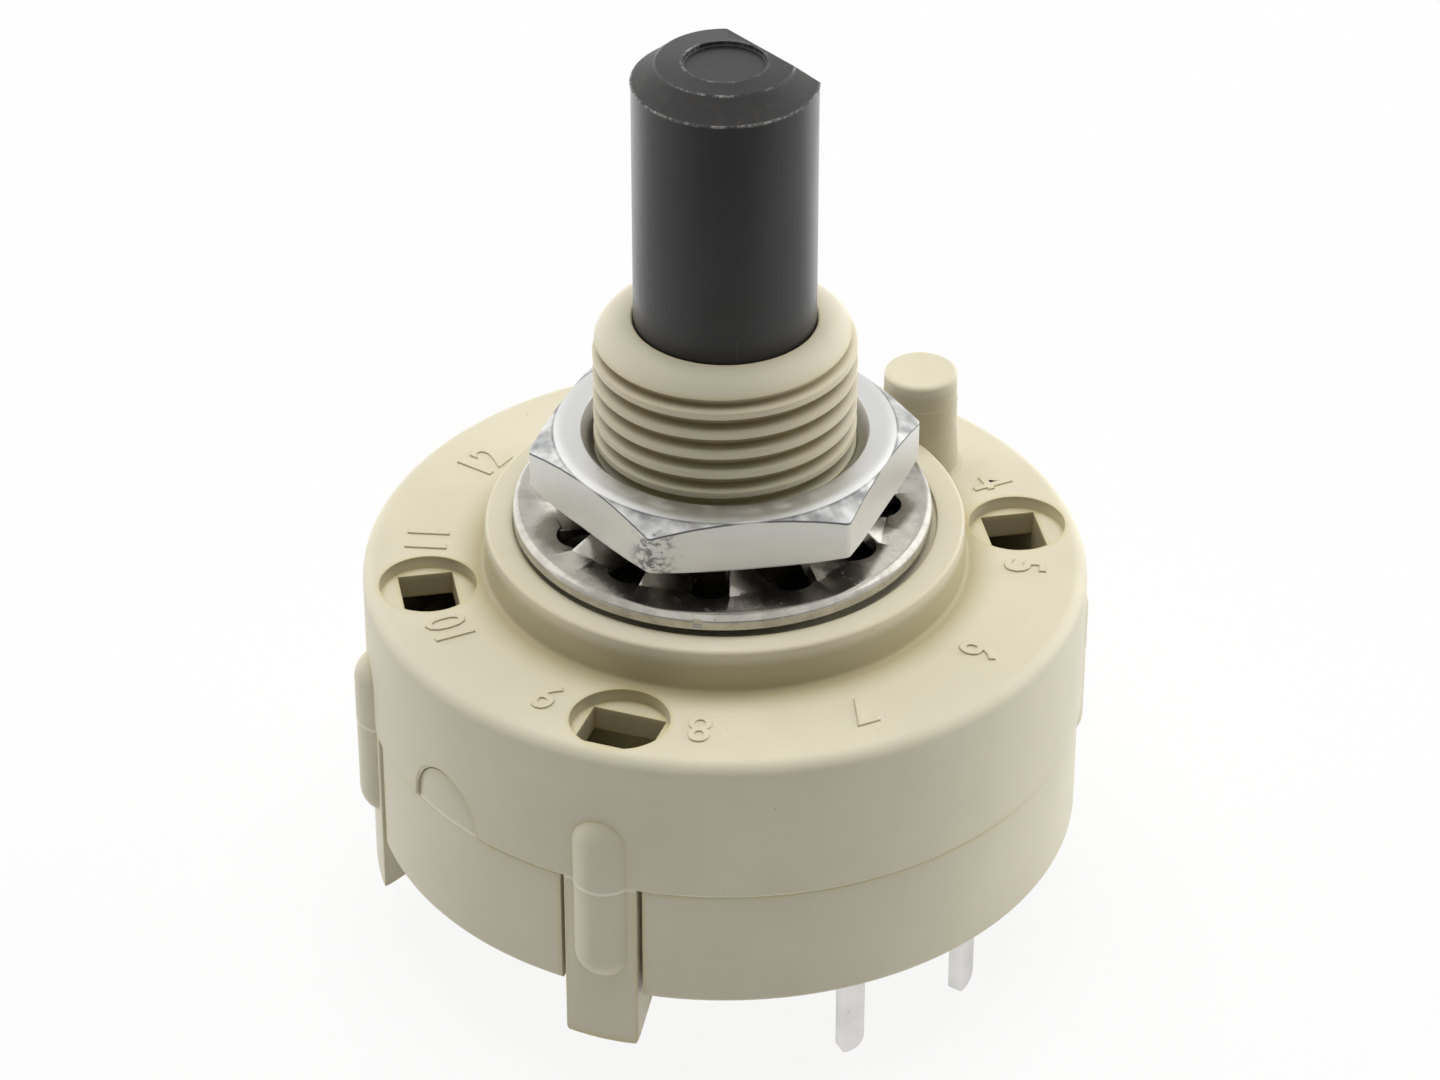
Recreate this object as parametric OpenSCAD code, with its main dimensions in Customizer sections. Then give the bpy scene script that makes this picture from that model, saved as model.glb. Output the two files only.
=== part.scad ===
// Rotary switch for a panel or a circuit board: two poles, three positions, 30 degrees a step.
// The origin is on the spindle axis, on the boss face that seats against the panel.
// +Z points to the spindle's end, +Y to the locating spigot. Millimetres.

/* [Body] */
// Outside diameter of the housing
body_d = 25.74; // [25:0.02:32]
// Height of the housing, from its top face to the parting line
housing_h = 5.55; // [5.3:0.05:8]
// Height of the terminal base below the parting line
base_h = 4.6; // [4:0.05:7]
// Thickness of the housing's side wall
side_wall = 1.25; // [1:0.05:1.5]
// Thickness of the housing's top plate
top_wall = 1.4; // [1.2:0.05:1.7]
// Thickness of the terminal base's floor
floor_t = 1.5; // [1.3:0.05:1.8]
// How far the terminal base stands back from the housing's side
base_setback = 0.12; // [0.05:0.01:0.3]
// Rounding of the housing's top edge
edge_r = 0.5; // [0.2:0.05:0.8]

/* [Boss and bush] */
// Diameter of the raised boss that seats on the panel
boss_d = 17.04; // [15.8:0.02:17.6]
// Height of the boss above the top face
boss_h = 1.65; // [1.4:0.05:2.2]
// Outside diameter of the threaded bush, over its crests
bush_d = 9.2; // [8.6:0.05:9.4]
// Length of the bush above the panel seat
bush_l = 8.25; // [7:0.05:12]
// Rounding of the bush's mouth
bush_round = 1.2; // [0.4:0.05:1.2]
// Diameter of the locating spigot
spigot_d = 2.7; // [2:0.05:3]
// Height of the spigot above the panel seat
spigot_h = 2.27; // [1.5:0.05:3.5]
// Distance from the spindle's axis to the spigot's
spigot_at = 9.29; // [8.9:0.01:9.8]

/* [Spindle] */
// Diameter of the spindle
spindle_d = 6.35; // [6:0.05:6.5]
// Height of the spindle's end above the panel seat
spindle_l = 18.16; // [14:0.05:40]
// Distance from the axis to the flat
flat_at = 2.35; // [2.2:0.05:2.8]
// Width of the chamfer at the end
tip_chamfer_w = 0.81; // [0.3:0.01:1]
// Height of the chamfer at the end
tip_chamfer_h = 0.74; // [0.3:0.01:1]
// Diameter of the shallow recess in the end
recess_d = 2.84; // [1.5:0.02:3]
// Depth of that recess
recess_depth = 0.15; // [0.05:0.05:0.5]

/* [Snap legs] */
// Width of a leg
leg_w = 2.64; // [2:0.02:3]
// Thickness of a leg
leg_t = 1.3; // [1.25:0.05:1.5]
// How far a leg's foot reaches below the terminal base
foot_drop = 2.16; // [1.9:0.02:2.6]
// How far a hook reaches under the base
hook_reach = 1.15; // [0.7:0.05:1.3]
// Width of the rounded rib on a leg
rib_w = 2.2; // [1.6:0.05:2.4]
// How far the rib stands out of the housing's side
rib_proud = 0.53; // [0.3:0.01:0.8]
// Length of the rib
rib_l = 6.9; // [5:0.05:7.5]
// Distance from the top face down to the rib
rib_drop = 2.65; // [2:0.05:3]

/* [Nut and washers] */
// Width of the nut across its flats
nut_af = 12; // [11:0.05:12.4]
// Thickness of the nut
nut_h = 2.07; // [1.8:0.01:3]
// Outside diameter of the lock washer
lock_d = 14.8; // [14.4:0.05:14.9]
// Thickness of the lock washer
lock_t = 0.66; // [0.5:0.01:0.8]
// Height that the twisted teeth fill between stop washer and nut
lock_gap = 1.45; // [1.35:0.01:1.8]
// Outside diameter of the stop washer
stop_d = 13.4; // [13.2:0.02:13.6]
// Thickness of the stop washer
stop_t = 0.4; // [0.3:0.02:0.6]

/* [Terminals] */
// Gap between the outer terminals and the wall of the terminal base
outer_gap = 0.07; // [0.05:0.01:0.4]
// Radius of the circle of common terminals
inner_at = 5; // [4.8:0.05:5.2]
// Width of a terminal blade
blade_w = 0.9; // [0.8:0.05:1.4]
// Thickness of a terminal blade
blade_t = 0.5; // [0.3:0.02:0.6]
// Length of a blade below the terminal base
blade_l = 4.75; // [3:0.05:7]

/* [Detent] */
// Diameter of a detent ball
ball_d = 2.4; // [2:0.05:2.5]
// Depth of a detent notch
notch_depth = 0.35; // [0.2:0.01:0.45]
// Wall of the detent ring, outside its ridges
ring_wall = 1.15; // [0.9:0.05:1.3]
// Height of the detent ring
ring_h = 3.15; // [2.8:0.05:3.4]

/* [Hidden] */
$fn = 96;

// Angles, counted from +X towards +Y
step = 30;                              // one switch position
first_mark = 15;                        // first of the twelve positions
leg_angles = [60, 120, 240, 300];
pole_angles = [45, 225];                // where the wipers stand at rest, position one
lug_angle = 180;                        // where the rotor's stop lug stands at rest
ways = 3;                               // positions used
detent_angle = 135;                     // direction of the ball and spring bore
nut_angle = 57.6;                       // the nut is left as it was tightened
key_angle = 270;                        // arch notch and key tab, opposite the spigot

// Clearances
slip = 0.05;                            // a shaft in its bore, a ball or wiper in its pocket
running = 0.2;                          // between faces that turn past each other
leg_gap = 0.17;                         // each side of a leg in its slot
overlap = 0.4;                          // how far features run into the body that carries them

// Heights
top_z = -boss_h;                        // the housing's top face
ceiling_z = top_z - top_wall;
parting_z = top_z - housing_h;
base_z = parting_z - base_h;            // underside of the terminal base
floor_z = base_z + floor_t;
foot_z = base_z - foot_drop;
washer_seat_z = -stop_t / 2;            // the stop washer is let half its thickness into the boss
stop_top_z = washer_seat_z + stop_t;
nut_z = stop_top_z + lock_gap;
nut_top_z = nut_z + nut_h;

// Radii of the housing
body_r = body_d / 2;
inner_r = body_r - side_wall;
leg_in_r = body_r - leg_t;
bush_r = bush_d / 2;
thread_h = 0.2;                         // from the crests down to the pitch line, where the nut bears
washer_gap = 0.15;                      // between the bush and the washers
bush_core_r = bush_r - thread_h;
spindle_r = spindle_d / 2;
journal_r = spindle_r - 0.025;
bore_r = journal_r + slip;
bush_wall = 1.6;                        // wall of the bush, down to its root in the housing
groove_in_r = bore_r + bush_wall;       // stop groove, round the bush's root
groove_out_r = stop_d / 2 + 0.1;
groove_z = washer_seat_z - 1;           // roof of the stop groove
bevel = 0.2;                            // small bevel along the parting line
spigot_round = 0.12;
spigot_draft = 0.08;                    // how much thicker the spigot is at its root
core_d = 3.45;                          // round sinking over a leg's core hole
core_depth = 0.5;
core_w = 2.64;                          // the core hole itself, across and along the radius
core_l = 2;

// Rotor, the spindle's hidden end
ring_out_r = leg_in_r - core_l - running;
ridge_r = ring_out_r - ring_wall;
hub_r = ridge_r - 1.5 * running;
hub_top_z = ceiling_z - running;
ring_bottom_z = ceiling_z - ring_h;     // underside of the detent ring
flange_top_z = ring_bottom_z - running;
flange_t = 2.2;
flange_z = flange_top_z - flange_t;
lug_in_r = groove_in_r + running;
lug_out_r = groove_out_r - running;
stop_half = 5;                          // half the angle of the fixed stop
tab_w = 1.1;                            // width of the stop washer's tab
tab_in_r = stop_d / 2 - stop_t - 0.02;
tab_out_r = stop_d / 2 - 0.02;
tab_half = asin(tab_w / 2 / tab_in_r);
lug_half = step / 2 - tab_half - 0.78;  // half the lug's angle, which leaves it free at either stop
stop_angle = lug_angle + step / 2;      // fixed stop
tab_angle = lug_angle - (ways - 1) * step - step / 2;
relief_z = [bush_l - 0.75, bush_l - slip];
relief_r = spindle_r - 0.27;
pivot_r = 2;
pivot_boss_r = 3.2;
pivot_depth = 0.6;                      // how far the pivot goes into the floor
slot_in_r = stop_d / 2 - stop_t - 0.1;  // stop slots in the boss
slot_out_r = stop_d / 2 + 0.06;
slot_w = 1.3;

// Detent
ball_r = ball_d / 2;
ball_at = ridge_r - slip - ball_r;      // held back just clear of the ridges
bore_z = ring_bottom_z + ball_r;
notch_r = ball_r + 0.1;
detent_wire = 0.35;
detent_coil_r = ball_r - 0.1;           // outside radius of the detent spring
detent_turns = 11;

// Terminal base and contacts
hook_t = 0.45;                          // height of a hook's nose
leg_setback = 0.03;                     // a leg's outer face behind the housing's side
base_r = body_r - base_setback;
lip_r = inner_r - slip;
lip_w = 0.9;
cup_r = lip_r - lip_w;                  // inside of the base
lip_h = 0.9;                            // register that stands up inside the housing
outer_at = cup_r - outer_gap - blade_t / 2;
arch_r = 1.65;                          // arch notch in the skirt
arch_rise = 0.3;                        // straight part of its sides
pad_t = 0.4;
pad_w = 1.9;
foot_at = outer_at - 2.4;               // outer foot of a wiper, on the pads
pad_in_r = foot_at - 0.9;
pad_z = floor_z + pad_t;                // top of the fixed contacts
track_w = 1.6;
track_half = step * (ways - 1) / 2 + 12;  // a common's track, past the first and last position

// Wipers
wiper_z = pad_z + 0.45;                 // underside of the wiper bar
wiper_t = 0.5;
wiper_w = 1.8;
wiper_in_r = inner_at - 0.8;
wiper_out_r = foot_at + 0.6;
flange_r = wiper_out_r + 0.4;
foot_r = 0.45;
cage_wall = 0.7;
cage_z = wiper_z + 0.15;
cage_in_r = pivot_boss_r + 0.3;
well_r = 1.05;                          // pocket of a wiper spring
well_top_z = flange_top_z - 0.4;
wiper_spring_at = (wiper_in_r + wiper_out_r) / 2;
wiper_wire = 0.25;
wiper_coil_r = well_r - 0.15;
wiper_turns = 4;

// Colours
beige = "#cfc8ab";
black_plastic = "#2b2b2d";
zinc = "#c3c6c9";
nickel = "#d6d4cf";
blackened = "#33322f";
spring_steel = "#a9abae";
silvered = "#d9d8d4";
copper = "#c98f5a";

function polar(r, a) = [r * cos(a), r * sin(a)];

// A ring or disc between two heights.
module tube(r, bore, z0, z1) {
    difference() {
        translate([0, 0, z0])
            cylinder(r = r, h = z1 - z0);
        if (bore > 0)
            translate([0, 0, z0 - 1])
                cylinder(r = bore, h = z1 - z0 + 2);
    }
}

// A block that lies along the radius at an angle.
module radial_block(a, r0, r1, w, z0, z1) {
    rotate(a)
        translate([r0, -w / 2, z0])
            cube([r1 - r0, w, z1 - z0]);
}

// A piece of a ring, centred on an angle.
module sector(a, half, r0, r1, z0, z1) {
    rotate(a - half)
        rotate_extrude(angle = 2 * half)
            translate([r0, z0])
                square([r1 - r0, z1 - z0]);
}

// Half section of a turned block with its top edge rounded.
module rounded_section(r, z0, z1, round) {
    translate([0, z0])
        square([r, z1 - z0 - round]);
    translate([0, z0])
        square([r - round, z1 - z0]);
    translate([r - round, z1 - round])
        circle(r = round);
}

// One swept coil spring along +Z, standing on z = 0, as a closed tube of few sides.
module coil_spring(coil_r, wire, length, turns) {
    sides = 8;
    per_turn = 12;
    mean_r = coil_r - wire / 2;
    rings = turns * per_turn;
    rise = (length - wire) / rings;
    points = [
        for (i = [0:rings], j = [0:sides - 1])
            let (around = 360 * i / per_turn,
                 over = 360 * j / sides,
                 r = mean_r + wire / 2 * cos(over))
            [r * cos(around), r * sin(around), wire / 2 + rise * i + wire / 2 * sin(over)]
    ];
    skin = [
        for (i = [0:rings - 1], j = [0:sides - 1])
            let (k = (j + 1) % sides)
            [i * sides + j, (i + 1) * sides + j, (i + 1) * sides + k, i * sides + k]
    ];
    ends = [
        [for (j = [0:sides - 1]) j],
        [for (j = [sides - 1:-1:0]) rings * sides + j],
    ];
    polyhedron(points = points, faces = concat(skin, ends));
}

// Arch-shaped prism along -Y, for the notch in the skirt and the key tab in it.
module arch(r, r0, r1) {
    rotate(key_angle)
        translate([r0, 0, parting_z])
            rotate([90, 0, 90])
                linear_extrude(r1 - r0) {
                    translate([0, arch_rise])
                        circle(r = r);
                    translate([-r, -overlap])
                        square([2 * r, arch_rise + overlap]);
                }
}

// Section of cup, boss and bush. The fine thread is not cut: the bush is plain at its crests, and
// plain at its pitch line where the nut bears.
module housing_section() {
    difference() {
        union() {
            rounded_section(body_r, parting_z, top_z, edge_r);
            translate([0, top_z - overlap])
                square([boss_d / 2, boss_h + overlap]);
            square([bush_core_r, nut_top_z + overlap]);
            rounded_section(bush_r, nut_top_z, bush_l, bush_round);
        }
        // cavity
        translate([0, parting_z - 1])
            square([inner_r, ceiling_z - parting_z + 1]);
        // groove for the stop lug
        translate([groove_in_r, ceiling_z - 1])
            square([groove_out_r - groove_in_r, groove_z - ceiling_z + 1]);
        // seat of the stop washer
        translate([bush_core_r, washer_seat_z])
            square([lock_d / 2 + 0.1 - bush_core_r, 1]);
        // bore
        translate([0, ceiling_z - 1])
            square([bore_r, bush_l - ceiling_z + 2]);
        // bevel at the parting line
        translate([body_r, parting_z])
            rotate(45)
                square(bevel * sqrt(2), center = true);
    }
}

// A snap leg: bar, hook and rounded rib. The foot is sloped so that it springs outwards on assembly.
module snap_leg() {
    hook_r = leg_in_r - hook_reach;
    rib_r = rib_w / 2;
    rib_at = body_r + rib_proud - rib_r;
    rib_top_z = top_z - rib_drop;
    intersection() {
        translate([0, leg_w / 2, 0])
            rotate([90, 0, 0])
                linear_extrude(leg_w)
                    polygon([
                        [body_r, foot_z],
                        [body_r, top_z - edge_r],
                        [leg_in_r, top_z - edge_r],
                        [leg_in_r, base_z - slip],
                        [hook_r, base_z - slip],
                        [hook_r, base_z - slip - hook_t],
                    ]);
        translate([0, 0, foot_z])
            cylinder(r = body_r - leg_setback, h = top_z - foot_z);
    }
    // rib
    difference() {
        union() {
            for (z = [rib_top_z - rib_r, rib_top_z - rib_l + rib_r])
                translate([rib_at, 0, z])
                    sphere(r = rib_r);
            translate([rib_at, 0, rib_top_z - rib_l + rib_r])
                cylinder(r = rib_r, h = rib_l - 2 * rib_r);
        }
        translate([0, 0, foot_z])
            cylinder(r = leg_in_r + leg_t / 2, h = top_z - foot_z);
    }
}

module front_housing() {
    color(beige)
        difference() {
            union() {
                rotate_extrude()
                    housing_section();
                // spigot, drafted where it stands against the boss
                translate([0, spigot_at, 0])
                    rotate_extrude()
                        rounded_section(spigot_d / 2, 0, spigot_h, spigot_round);
                translate([0, spigot_at, top_z - overlap])
                    cylinder(r1 = spigot_d / 2 + spigot_draft, r2 = spigot_d / 2, h = boss_h + overlap);
                for (a = leg_angles)
                    rotate(a)
                        snap_leg();
                // detent ring
                tube(ring_out_r, ridge_r, ring_bottom_z, ceiling_z + overlap);
                // fixed stop in the groove
                sector(stop_angle, stop_half, groove_in_r - overlap, groove_out_r + overlap,
                       ceiling_z, groove_z + overlap);
            }
            for (a = [first_mark:step:359]) {
                // detent notch
                translate(concat(polar(ridge_r + notch_depth - notch_r, a), ring_bottom_z - 1))
                    cylinder(r = notch_r, h = ceiling_z - ring_bottom_z + 1);
                // slot for the stop washer's tab, left out where the fixed stop is
                if (a != stop_angle)
                    radial_block(a, slot_in_r, slot_out_r, slot_w, groove_z - 1, 1);
            }
            // core holes over the hooks
            for (a = leg_angles)
                rotate(a) {
                    translate([leg_in_r - core_l / 2, 0, top_z - core_depth])
                        cylinder(d = core_d, h = 2);
                    translate([leg_in_r - core_l, -core_w / 2, ceiling_z - 1])
                        cube([core_l, core_w, top_wall + 2]);
                }
            arch(arch_r, inner_r - 1, body_r + 1);
        }
}

// The slot that a blade goes down through.
module terminal_slot(a, r) {
    half_t = blade_t / 2 + slip;
    radial_block(a, r - half_t, r + half_t, blade_w + 2 * slip, base_z - 1, floor_z + 1);
}

module terminal_base() {
    color(beige)
        difference() {
            union() {
                tube(base_r, cup_r, base_z, parting_z);
                tube(lip_r, cup_r, parting_z - overlap, parting_z + lip_h);
                tube(cup_r + overlap, 0, base_z, floor_z);
                tube(pivot_boss_r, 0, floor_z - overlap, flange_z - running);
                // key tab in the arch notch
                intersection() {
                    arch(arch_r - 2 * slip, cup_r + overlap, base_r + 1);
                    tube(base_r, cup_r, parting_z - overlap, top_z);
                }
            }
            // pivot bearing
            translate([0, 0, floor_z - pivot_depth])
                cylinder(r = pivot_r + slip, h = base_h);
            // slots for the legs
            for (a = leg_angles)
                radial_block(a, leg_in_r - 2 * slip, body_r + 1, leg_w + 2 * leg_gap,
                             base_z - 1, parting_z + lip_h + 1);
            for (pole = pole_angles) {
                for (way = [0:ways - 1])
                    terminal_slot(pole - way * step, outer_at);
                terminal_slot(pole - step, inner_at);
            }
        }
}

// The free shaft: round with one flat, chamfered all round its end.
module shaft() {
    chamfer_z = spindle_l - tip_chamfer_h;
    difference() {
        union() {
            translate([0, 0, relief_z[1]])
                cylinder(r = spindle_r, h = chamfer_z - relief_z[1]);
            translate([0, 0, chamfer_z])
                cylinder(r1 = spindle_r, r2 = spindle_r - tip_chamfer_w, h = tip_chamfer_h);
        }
        translate([-spindle_r - 1, flat_at, relief_z[1] - 1])
            cube([spindle_d + 2, spindle_r, spindle_l]);
        translate([-spindle_r - 1, 0, 0])
            rotate([90, 0, 90])
                linear_extrude(spindle_d + 2)
                    polygon([
                        [flat_at, chamfer_z],
                        [flat_at - tip_chamfer_w, spindle_l],
                        [flat_at - tip_chamfer_w, spindle_l + 1],
                        [flat_at + 1, spindle_l + 1],
                        [flat_at + 1, chamfer_z],
                    ]);
        translate([0, 0, spindle_l - recess_depth])
            cylinder(d = recess_d, h = 1);
    }
}

module spindle() {
    color(black_plastic)
        difference() {
            union() {
                shaft();
                tube(relief_r, 0, relief_z[0] - overlap, relief_z[1]);
                tube(journal_r, 0, hub_top_z - overlap, relief_z[0]);
                tube(hub_r, 0, flange_top_z - overlap, hub_top_z);
                tube(flange_r, 0, flange_z, flange_top_z);
                tube(pivot_r, 0, floor_z - pivot_depth + running, flange_z + overlap);
                sector(lug_angle, lug_half, lug_in_r, lug_out_r, hub_top_z - overlap, groove_z - running);
                // cages that drive the wipers
                for (a = pole_angles)
                    radial_block(a, cage_in_r, flange_r, wiper_w + 2 * cage_wall, cage_z,
                                 flange_z + overlap);
            }
            // bore for balls and detent spring
            rotate([0, 90, detent_angle])
                translate([-bore_z, 0, 0])
                    cylinder(r = ball_r + slip, h = 2 * flange_r, center = true);
            for (a = pole_angles) {
                radial_block(a, wiper_in_r - slip, wiper_out_r + slip, wiper_w + 2 * slip, cage_z - 1,
                             wiper_z + wiper_t + slip);
                translate(concat(polar(wiper_spring_at, a), cage_z))
                    cylinder(r = well_r, h = well_top_z - cage_z);
            }
        }
}

module hex_nut() {
    chamfer_r = nut_af / 2 - 0.15;
    chamfer_angle = 23;
    corner_r = nut_af / 2 / cos(30);
    blank_r = corner_r + 0.5;
    thread_r = bush_core_r + slip / 2;
    sink_h = 0.47;
    color(zinc)
        difference() {
            intersection() {
                rotate(nut_angle)
                    translate([0, 0, nut_z])
                        cylinder(r = corner_r, h = nut_h, $fn = 6);
                rotate_extrude()
                    polygon([
                        [0, nut_z],
                        [blank_r, nut_z],
                        [blank_r, nut_top_z - (blank_r - chamfer_r) * tan(chamfer_angle)],
                        [chamfer_r, nut_top_z],
                        [0, nut_top_z],
                    ]);
            }
            translate([0, 0, nut_z - 1])
                cylinder(r = thread_r, h = nut_h + 2);
            // countersink
            translate([0, 0, nut_top_z - sink_h])
                cylinder(r1 = thread_r, r2 = thread_r + sink_h, h = sink_h + 0.001);
        }
}

module lock_washer() {
    teeth = 12;
    twist = 31;
    tooth_w = 1.6;
    tooth_in_r = bush_r + washer_gap;
    rim_w = 1.25;
    rim_in_r = lock_d / 2 - rim_w;
    clear = 0.12;                       // what the twisted teeth leave of the gap, above and below
    tooth_t = (lock_gap - clear - tooth_w * sin(twist)) / cos(twist);
    color(nickel) {
        tube(lock_d / 2, rim_in_r, stop_top_z, stop_top_z + lock_t);
        for (i = [0:teeth - 1])
            rotate(i * 360 / teeth)
                translate([(tooth_in_r + rim_in_r + 0.2) / 2, 0, stop_top_z + lock_gap / 2])
                    rotate([twist, 0, 0])
                        cube([rim_in_r + 0.2 - tooth_in_r, tooth_w, tooth_t], center = true);
    }
}

module stop_washer() {
    color(blackened) {
        tube(stop_d / 2, bush_r + washer_gap, washer_seat_z, stop_top_z);
        radial_block(tab_angle, tab_in_r, tab_out_r, tab_w, hub_top_z + 2 * running, stop_top_z);
    }
}

module detent_spring() {
    length = 2 * (ball_at - ball_r - slip);
    color(spring_steel)
        rotate([0, 90, detent_angle])
            translate([-bore_z, 0, -length / 2])
                coil_spring(detent_coil_r, detent_wire, length, detent_turns);
}

module detent_ball(a) {
    color(nickel)
        translate(concat(polar(ball_at, a), bore_z))
            sphere(r = ball_r);
}

module wiper(a) {
    color(copper) {
        radial_block(a, wiper_in_r, wiper_out_r, wiper_w, wiper_z, wiper_z + wiper_t);
        for (r = [inner_at, foot_at])
            translate(concat(polar(r, a), pad_z + slip + foot_r))
                sphere(r = foot_r);
    }
}

module wiper_spring(a) {
    seat_z = wiper_z + wiper_t;
    color(spring_steel)
        translate(concat(polar(wiper_spring_at, a), seat_z + slip))
            coil_spring(wiper_coil_r, wiper_wire, well_top_z - seat_z - 2 * slip, wiper_turns);
}

// A flat blade that hangs from a contact, with its end rounded.
module blade(a, r) {
    rotate(a)
        translate([r - blade_t / 2, 0, 0])
            rotate([90, 0, 90])
                linear_extrude(blade_t) {
                    translate([0, base_z - blade_l + blade_w / 2])
                        circle(r = blade_w / 2);
                    translate([-blade_w / 2, base_z - blade_l + blade_w / 2])
                        square([blade_w, pad_z - base_z + blade_l - blade_w / 2]);
                }
}

module outer_terminal(a) {
    color(silvered) {
        radial_block(a, pad_in_r, outer_at + blade_t / 2, pad_w, floor_z, pad_z);
        blade(a, outer_at);
    }
}

module common_terminal(a) {
    color(silvered) {
        sector(a, track_half, inner_at - track_w / 2, inner_at + track_w / 2, floor_z, pad_z);
        blade(a, inner_at);
    }
}

front_housing();
terminal_base();
spindle();
hex_nut();
lock_washer();
stop_washer();
detent_spring();
detent_ball(detent_angle);  // detent_ball_a
detent_ball(detent_angle + 180);  // detent_ball_b
wiper(pole_angles[0]);  // wiper_a
wiper(pole_angles[1]);  // wiper_b
wiper_spring(pole_angles[0]);  // wiper_spring_a
wiper_spring(pole_angles[1]);  // wiper_spring_b
outer_terminal(pole_angles[0]);  // outer_terminal_1
outer_terminal(pole_angles[0] - step);  // outer_terminal_2
outer_terminal(pole_angles[0] - 2 * step);  // outer_terminal_3
outer_terminal(pole_angles[1]);  // outer_terminal_4
outer_terminal(pole_angles[1] - step);  // outer_terminal_5
outer_terminal(pole_angles[1] - 2 * step);  // outer_terminal_6
common_terminal(pole_angles[0] - step);  // common_terminal_a
common_terminal(pole_angles[1] - step);  // common_terminal_b
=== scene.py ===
"""Looks of a panel-mount rotary switch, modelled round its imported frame.

The origin is on the spindle's axis, on the boss face that seats against the panel. +Z points to the
spindle's end and +Y to the locating spigot. Classes hold their sizes in millimetres, and Bench turns them
into metres as it adds each shape. Angles are in degrees, counted from +X towards +Y.
"""

import logging
import math
from contextlib import contextmanager
from dataclasses import dataclass, field
from enum import Enum
from typing import Any, Iterator, Sequence, Union

import bpy
from mathutils import Matrix, Vector


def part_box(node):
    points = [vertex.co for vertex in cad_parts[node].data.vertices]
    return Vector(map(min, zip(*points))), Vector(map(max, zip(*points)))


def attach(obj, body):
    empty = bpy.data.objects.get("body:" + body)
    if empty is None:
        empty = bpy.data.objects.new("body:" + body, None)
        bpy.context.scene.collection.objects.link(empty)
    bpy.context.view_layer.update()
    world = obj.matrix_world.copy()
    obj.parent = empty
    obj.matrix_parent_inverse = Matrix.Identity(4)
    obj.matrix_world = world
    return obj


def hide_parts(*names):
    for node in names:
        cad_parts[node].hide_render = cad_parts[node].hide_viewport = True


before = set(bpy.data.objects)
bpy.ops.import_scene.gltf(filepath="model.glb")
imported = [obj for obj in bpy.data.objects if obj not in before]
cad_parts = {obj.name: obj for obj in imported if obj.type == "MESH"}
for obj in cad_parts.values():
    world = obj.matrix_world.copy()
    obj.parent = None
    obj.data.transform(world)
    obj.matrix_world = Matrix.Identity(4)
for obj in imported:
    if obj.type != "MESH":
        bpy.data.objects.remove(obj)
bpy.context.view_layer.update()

MM = 0.001
Point = tuple[float, float]
Outline = list[Point]
Piece = bpy.types.Object
log = logging.getLogger("rotary_switch")

# What more than one piece or finish goes by, in millimetres and degrees.
PARTING = -7.2
BASE_FLOOR = -10.3
SPIGOT_AT = 9.29
BLADE_W = 0.9
BLADE_T = 0.5
PIN_CIRCLE = 10.35
PIN_ANGLES = (45, 15, -15, 225, 195, 165)
COMMON_CIRCLE = 5.0
COMMON_ANGLES = (15, 195)


# ---------------------------------------------------------------- modelling

class Cut(Enum):
    """What a boolean does with its second shape."""

    ADD = "UNION"
    REMOVE = "DIFFERENCE"
    KEEP = "INTERSECT"


def arc(centre: Point, radius: float, start: float, end: float, steps: int) -> Outline:
    """Points along an arc.

    Args:
        centre: the arc's centre.
        radius: its radius.
        start: angle of the first point.
        end: angle of the last point.
        steps: how many straight steps it takes.

    Returns:
        steps + 1 points.
    """
    angles = [math.radians(start + (end - start) * i / steps) for i in range(steps + 1)]
    return [(centre[0] + radius * math.cos(a), centre[1] + radius * math.sin(a)) for a in angles]


def circle_of(radius: float) -> Outline:
    """Points all the way round a circle about the origin."""
    return arc((0, 0), radius, 0, 352.5, 47)


def rounded_box(half_w: float, half_l: float, radii: Sequence[float], steps: int = 5) -> Outline:
    """Outline of a rectangle about the origin, each corner with its own radius.

    Args:
        half_w: half its width.
        half_l: half its length.
        radii: radius of the corners at (+, +), (-, +), (-, -) and (+, -).
        steps: straight steps in each corner.

    Returns:
        The outline, counter-clockwise.
    """
    outline: Outline = []
    for quarter, ((sx, sy), radius) in enumerate(zip(((1, 1), (-1, 1), (-1, -1), (1, -1)), radii)):
        centre = (sx * (half_w - radius), sy * (half_l - radius))
        outline += arc(centre, radius, 90 * quarter, 90 * quarter + 90, steps)
    return outline


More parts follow.
